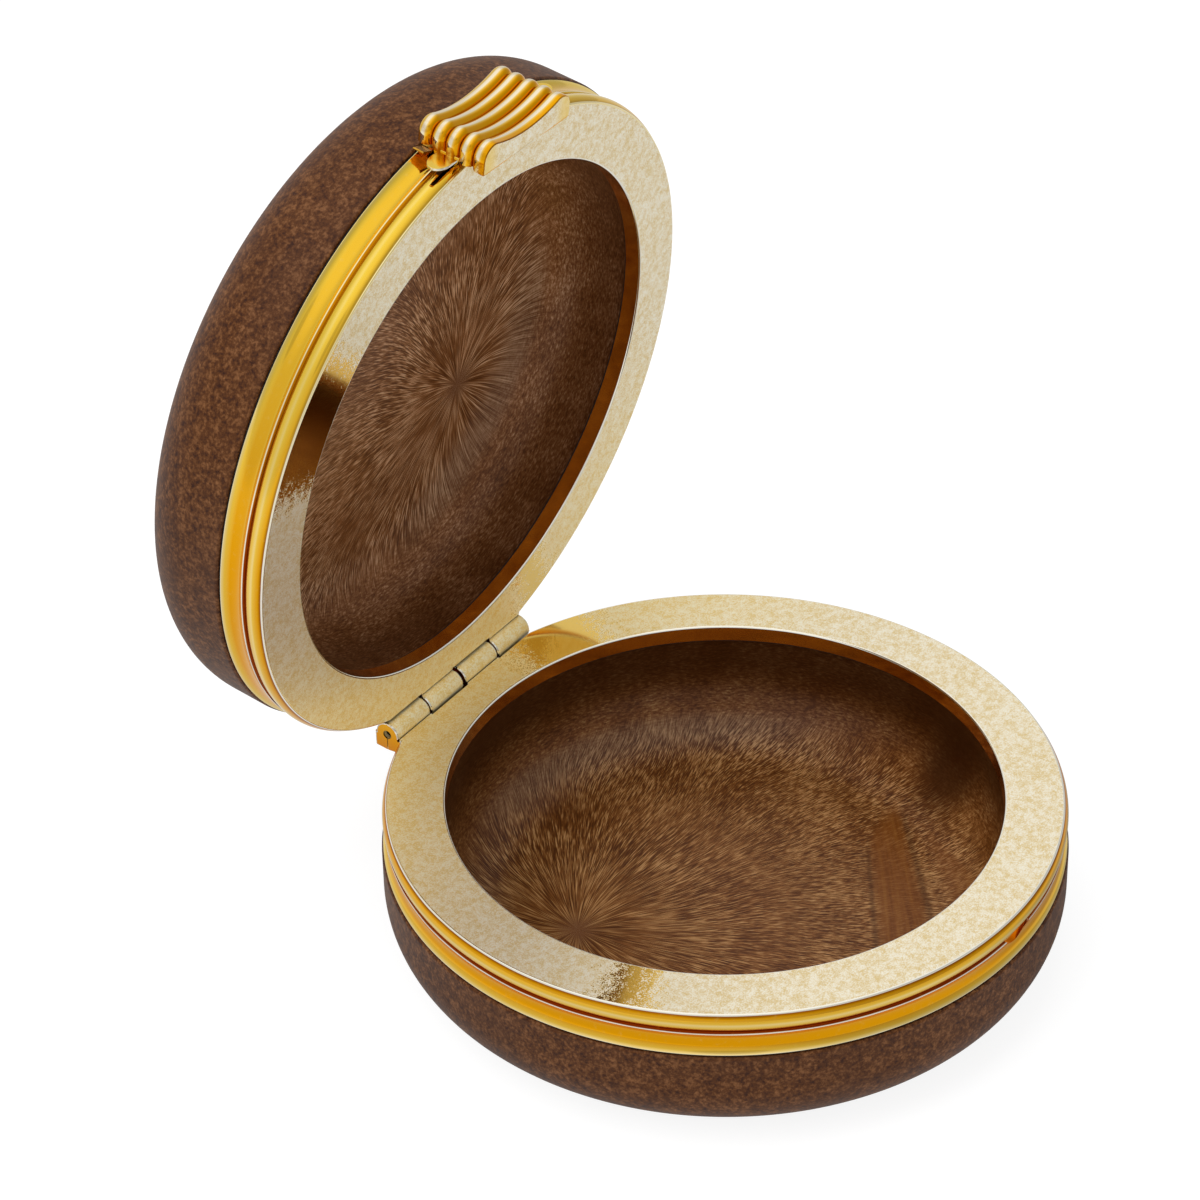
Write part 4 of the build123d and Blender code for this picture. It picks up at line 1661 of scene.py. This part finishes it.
@dataclass
class Studio:
    """Floor, lamps, world and camera.

    The camera stands at an azimuth from the front and an elevation, looks level with that direction and is
    slid sideways and up, all from the centre of the base's face.

    Args:
        azimuth: the camera's side, in degrees.
        elevation: the camera's height, in degrees.
        roll: the camera's tilt about its own view, in degrees.
        distance: distance of the camera in millimetres.
        slide_right: slide to the right in millimetres.
        slide_up: slide up in millimetres.
        target_z: height of the base's face in millimetres.
        lens: focal length in millimetres.
        sensor: width of the camera's film in millimetres.
        floor_size: half width of the floor in metres.
        floor_seen: brightness of the floor for the camera.
        floor_in_metal: brightness of the floor in reflections.
        dome_low: brightness of the sky in reflections, at its sides.
        dome_high: brightness of the sky in reflections, overhead.
        lamps: the soft lamps.
    """

    azimuth: float = -54.2814
    elevation: float = 35.6991
    roll: float = -1.1833
    distance: float = 550.9
    slide_right: float = -15.594
    slide_up: float = 23.945
    target_z: float = 21.2
    lens: float = 132.0
    sensor: float = 36.0
    floor_size: float = 3.0
    floor_seen: float = 0.87
    floor_in_metal: float = 0.52
    dome_low: float = 0.74
    dome_high: float = 1.0
    lamps: tuple[Lamp, ...] = (
        Lamp("overhead", (-0.1, 0.15, 0.9), 0.6, 3.0),
        Lamp("left_top", (-0.42, 0.1, 0.5), 0.35, 1.3),
        Lamp("low_front", (-0.4, -0.88, 0.1), 0.45, 3.6),
    )

    def camera_axes(self) -> Array:
        """Directions of the camera, turned by its roll.

        Returns:
            Right, up and back, one row each.
        """
        az, el, roll = (math.radians(v) for v in (self.azimuth, self.elevation, self.roll))
        back = np.array([math.sin(az) * math.cos(el), -math.cos(az) * math.cos(el), math.sin(el)])
        right = np.cross(-back, [0, 0, 1.0])
        right /= np.linalg.norm(right)
        up = np.cross(right, -back)
        right_rolled = math.cos(roll) * right + math.sin(roll) * up
        up_rolled = math.cos(roll) * up - math.sin(roll) * right
        return np.stack([right_rolled, up_rolled, back])

    def camera(self) -> None:
        """Create the camera and make it the scene's own."""
        right, up, back = self.camera_axes()
        spot = back * self.distance + right * self.slide_right + up * self.slide_up
        spot = (spot + np.array([0, 0, self.target_z])) * MM
        data = bpy.data.cameras.new("camera")
        data.lens, data.sensor_width, data.sensor_fit = self.lens, self.sensor, "HORIZONTAL"
        data.clip_start, data.clip_end = 0.01, 20.0
        camera = bpy.data.objects.new("camera", data)
        turn = Matrix(np.stack([right, up, back], axis=1).tolist()).to_4x4()
        camera.matrix_world = Matrix.Translation(spot.tolist()) @ turn
        bpy.context.scene.collection.objects.link(camera)
        bpy.context.scene.camera = camera

    def floor(self) -> None:
        """A wide pale floor that keeps the case's shadow.

        The camera sees it as white where it is lit.  In the metal it is greyer, with a painted shadow under
        the front of the case and painted light behind its left.
        """
        size = self.floor_size
        corners = [(-size, -size, 0), (size, -size, 0), (size, size, 0), (-size, size, 0)]
        mesh = bpy.data.meshes.new("floor")
        mesh.from_pydata(corners, [], [[0, 1, 2, 3]])
        piece = bpy.data.objects.new("floor", mesh)
        bpy.context.scene.collection.objects.link(piece)
        material, nodes = new_material("floor_white")
        path = nodes.add("LightPath").outputs
        bounce = nodes.add("BsdfDiffuse", {"Color": shade(0.8, 0.8, 0.8)})
        faint = nodes.add("BsdfDiffuse", {"Color": shade(0.2, 0.2, 0.2)})
        spot = nodes.where()
        # Only in reflections: a painted shadow close to the case's front and a painted patch of light behind
        # its left.
        from_case = nodes.vector("DISTANCE", spot, (0.045, -0.04, 0.0))
        mirrored = nodes.span(from_case, 0.02, 0.06, 0.45 * self.floor_in_metal, self.floor_in_metal)
        behind = nodes.span(nodes.dot(spot, (-0.78, 0.62, 0.0)), 0.05, 0.14, 0.0, 0.12)
        strength = nodes.mix(path["Is Camera Ray"], nodes.plus(mirrored, behind), self.floor_seen)
        glow = nodes.add("Emission", {"Strength": strength})
        seen = nodes.add("AddShader", {0: faint.outputs[0], 1: glow.outputs[0]})
        both = nodes.add("MixShader", {0: path["Is Diffuse Ray"], 1: seen.outputs[0], 2: bounce.outputs[0]})
        nodes.add("OutputMaterial", {0: both.outputs[0]})
        give(piece, material)

    def world(self) -> None:
        """A sky that is white to the camera and softer as light.

        In the metal it is a dome, brighter overhead and darker round the camera and to the right.
        """
        world = bpy.data.worlds.new("studio")
        world.use_nodes = True
        nodes = Nodes(world.node_tree)
        path = nodes.add("LightPath").outputs
        way = nodes.add("TexCoord").outputs["Generated"]
        height = nodes.split(way)[2]
        to_camera = nodes.dot(way, tuple(float(part) for part in self.camera_axes()[2]))
        right = nodes.dot(way, (0.584, -0.812, -0.2))
        dome = nodes.span(height, 0.45, 0.9, self.dome_low, self.dome_high)
        dome = nodes.times(dome, nodes.span(to_camera, 0.975, 0.99, 1.0, 0.75))
        dome = nodes.times(dome, nodes.span(right, -0.15, 0.7, 1.0, 0.66))
        soft = nodes.times(nodes.span(height, -0.1, 0.9, 0.3, 0.8), nodes.span(right, -0.2, 0.9, 1.0, 0.45))
        strength = nodes.mix(path["Is Camera Ray"], nodes.mix(path["Is Diffuse Ray"], dome, soft), 1.0)
        sky = nodes.add("Background", {"Color": shade(1, 1, 1), "Strength": strength})
        nodes.add("OutputWorld", {0: sky.outputs[0]})
        bpy.context.scene.world = world

    def build(self) -> None:
        """Set up the studio."""
        bpy.context.scene.view_settings.view_transform = "Standard"
        self.camera()
        self.floor()
        self.world()
        for lamp in self.lamps:
            lamp.build()


def half_places(joint: dict[str, object], face_h: float, pin_y: float, gap: float) -> dict[str, Place]:
    """Work out where the two halves stand from the lid's hinge.

    The lid is the base turned over on the pin and then back by the hinge's whole range.

    Args:
        joint: the hinge as the frame gives it.
        face_h: height of the base's face.
        pin_y: distance of the pin from a half's centre.
        gap: height of the pin over each face.

    Returns:
        The base's and the lid's places by body name.
    """
    pin = np.array(joint["pos_m"]) / MM
    turn = math.radians(joint["range_deg"][1])
    out = np.array([0, -math.sin(turn), -math.cos(turn)])
    hinge = np.array([0, math.cos(turn), -math.sin(turn)])
    lid = Place(pin - hinge * pin_y - out * gap, np.stack([[-1.0, 0, 0], hinge, out]))
    return {"base": Place(np.array([0, 0, face_h]), np.eye(3)), "lid": lid}


def main() -> None:
    """Build the case around the frame, then the studio, and log each new piece's number of faces."""
    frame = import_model()
    looks = Finishes.build()
    hinge_joint = next(joint for joint in frame["joints"] if joint["name"] == "lid_hinge")
    places = half_places(hinge_joint, HalfSizes.half_h, Hinge.pin_y, Hinge.pin_z)
    hinge = Hinge(places, looks)
    clasp = Clasp(places["lid"], looks)
    base_cuts, lid_cuts = hinge.cutters() + [catch_cutter()], hinge.cutters() + clasp.cutters()
    base = Half("base", places["base"], looks, looks.base_face, looks.base_side, looks.base_resin, base_cuts)
    lid = Half("lid", places["lid"], looks, looks.lid_face, looks.lid_side, looks.lid_resin, lid_cuts)
    builders: list[Callable[[], list[Piece]]] = [base.build, lid.build, hinge.build, clasp.build]
    for builder in builders:
        for piece in builder():
            LOG.info("%s: %d faces", piece.name, len(piece.data.polygons))
    Studio().build()


if __name__ == "__main__":
    logging.basicConfig(level=logging.INFO, format="%(name)s %(message)s")
    main()
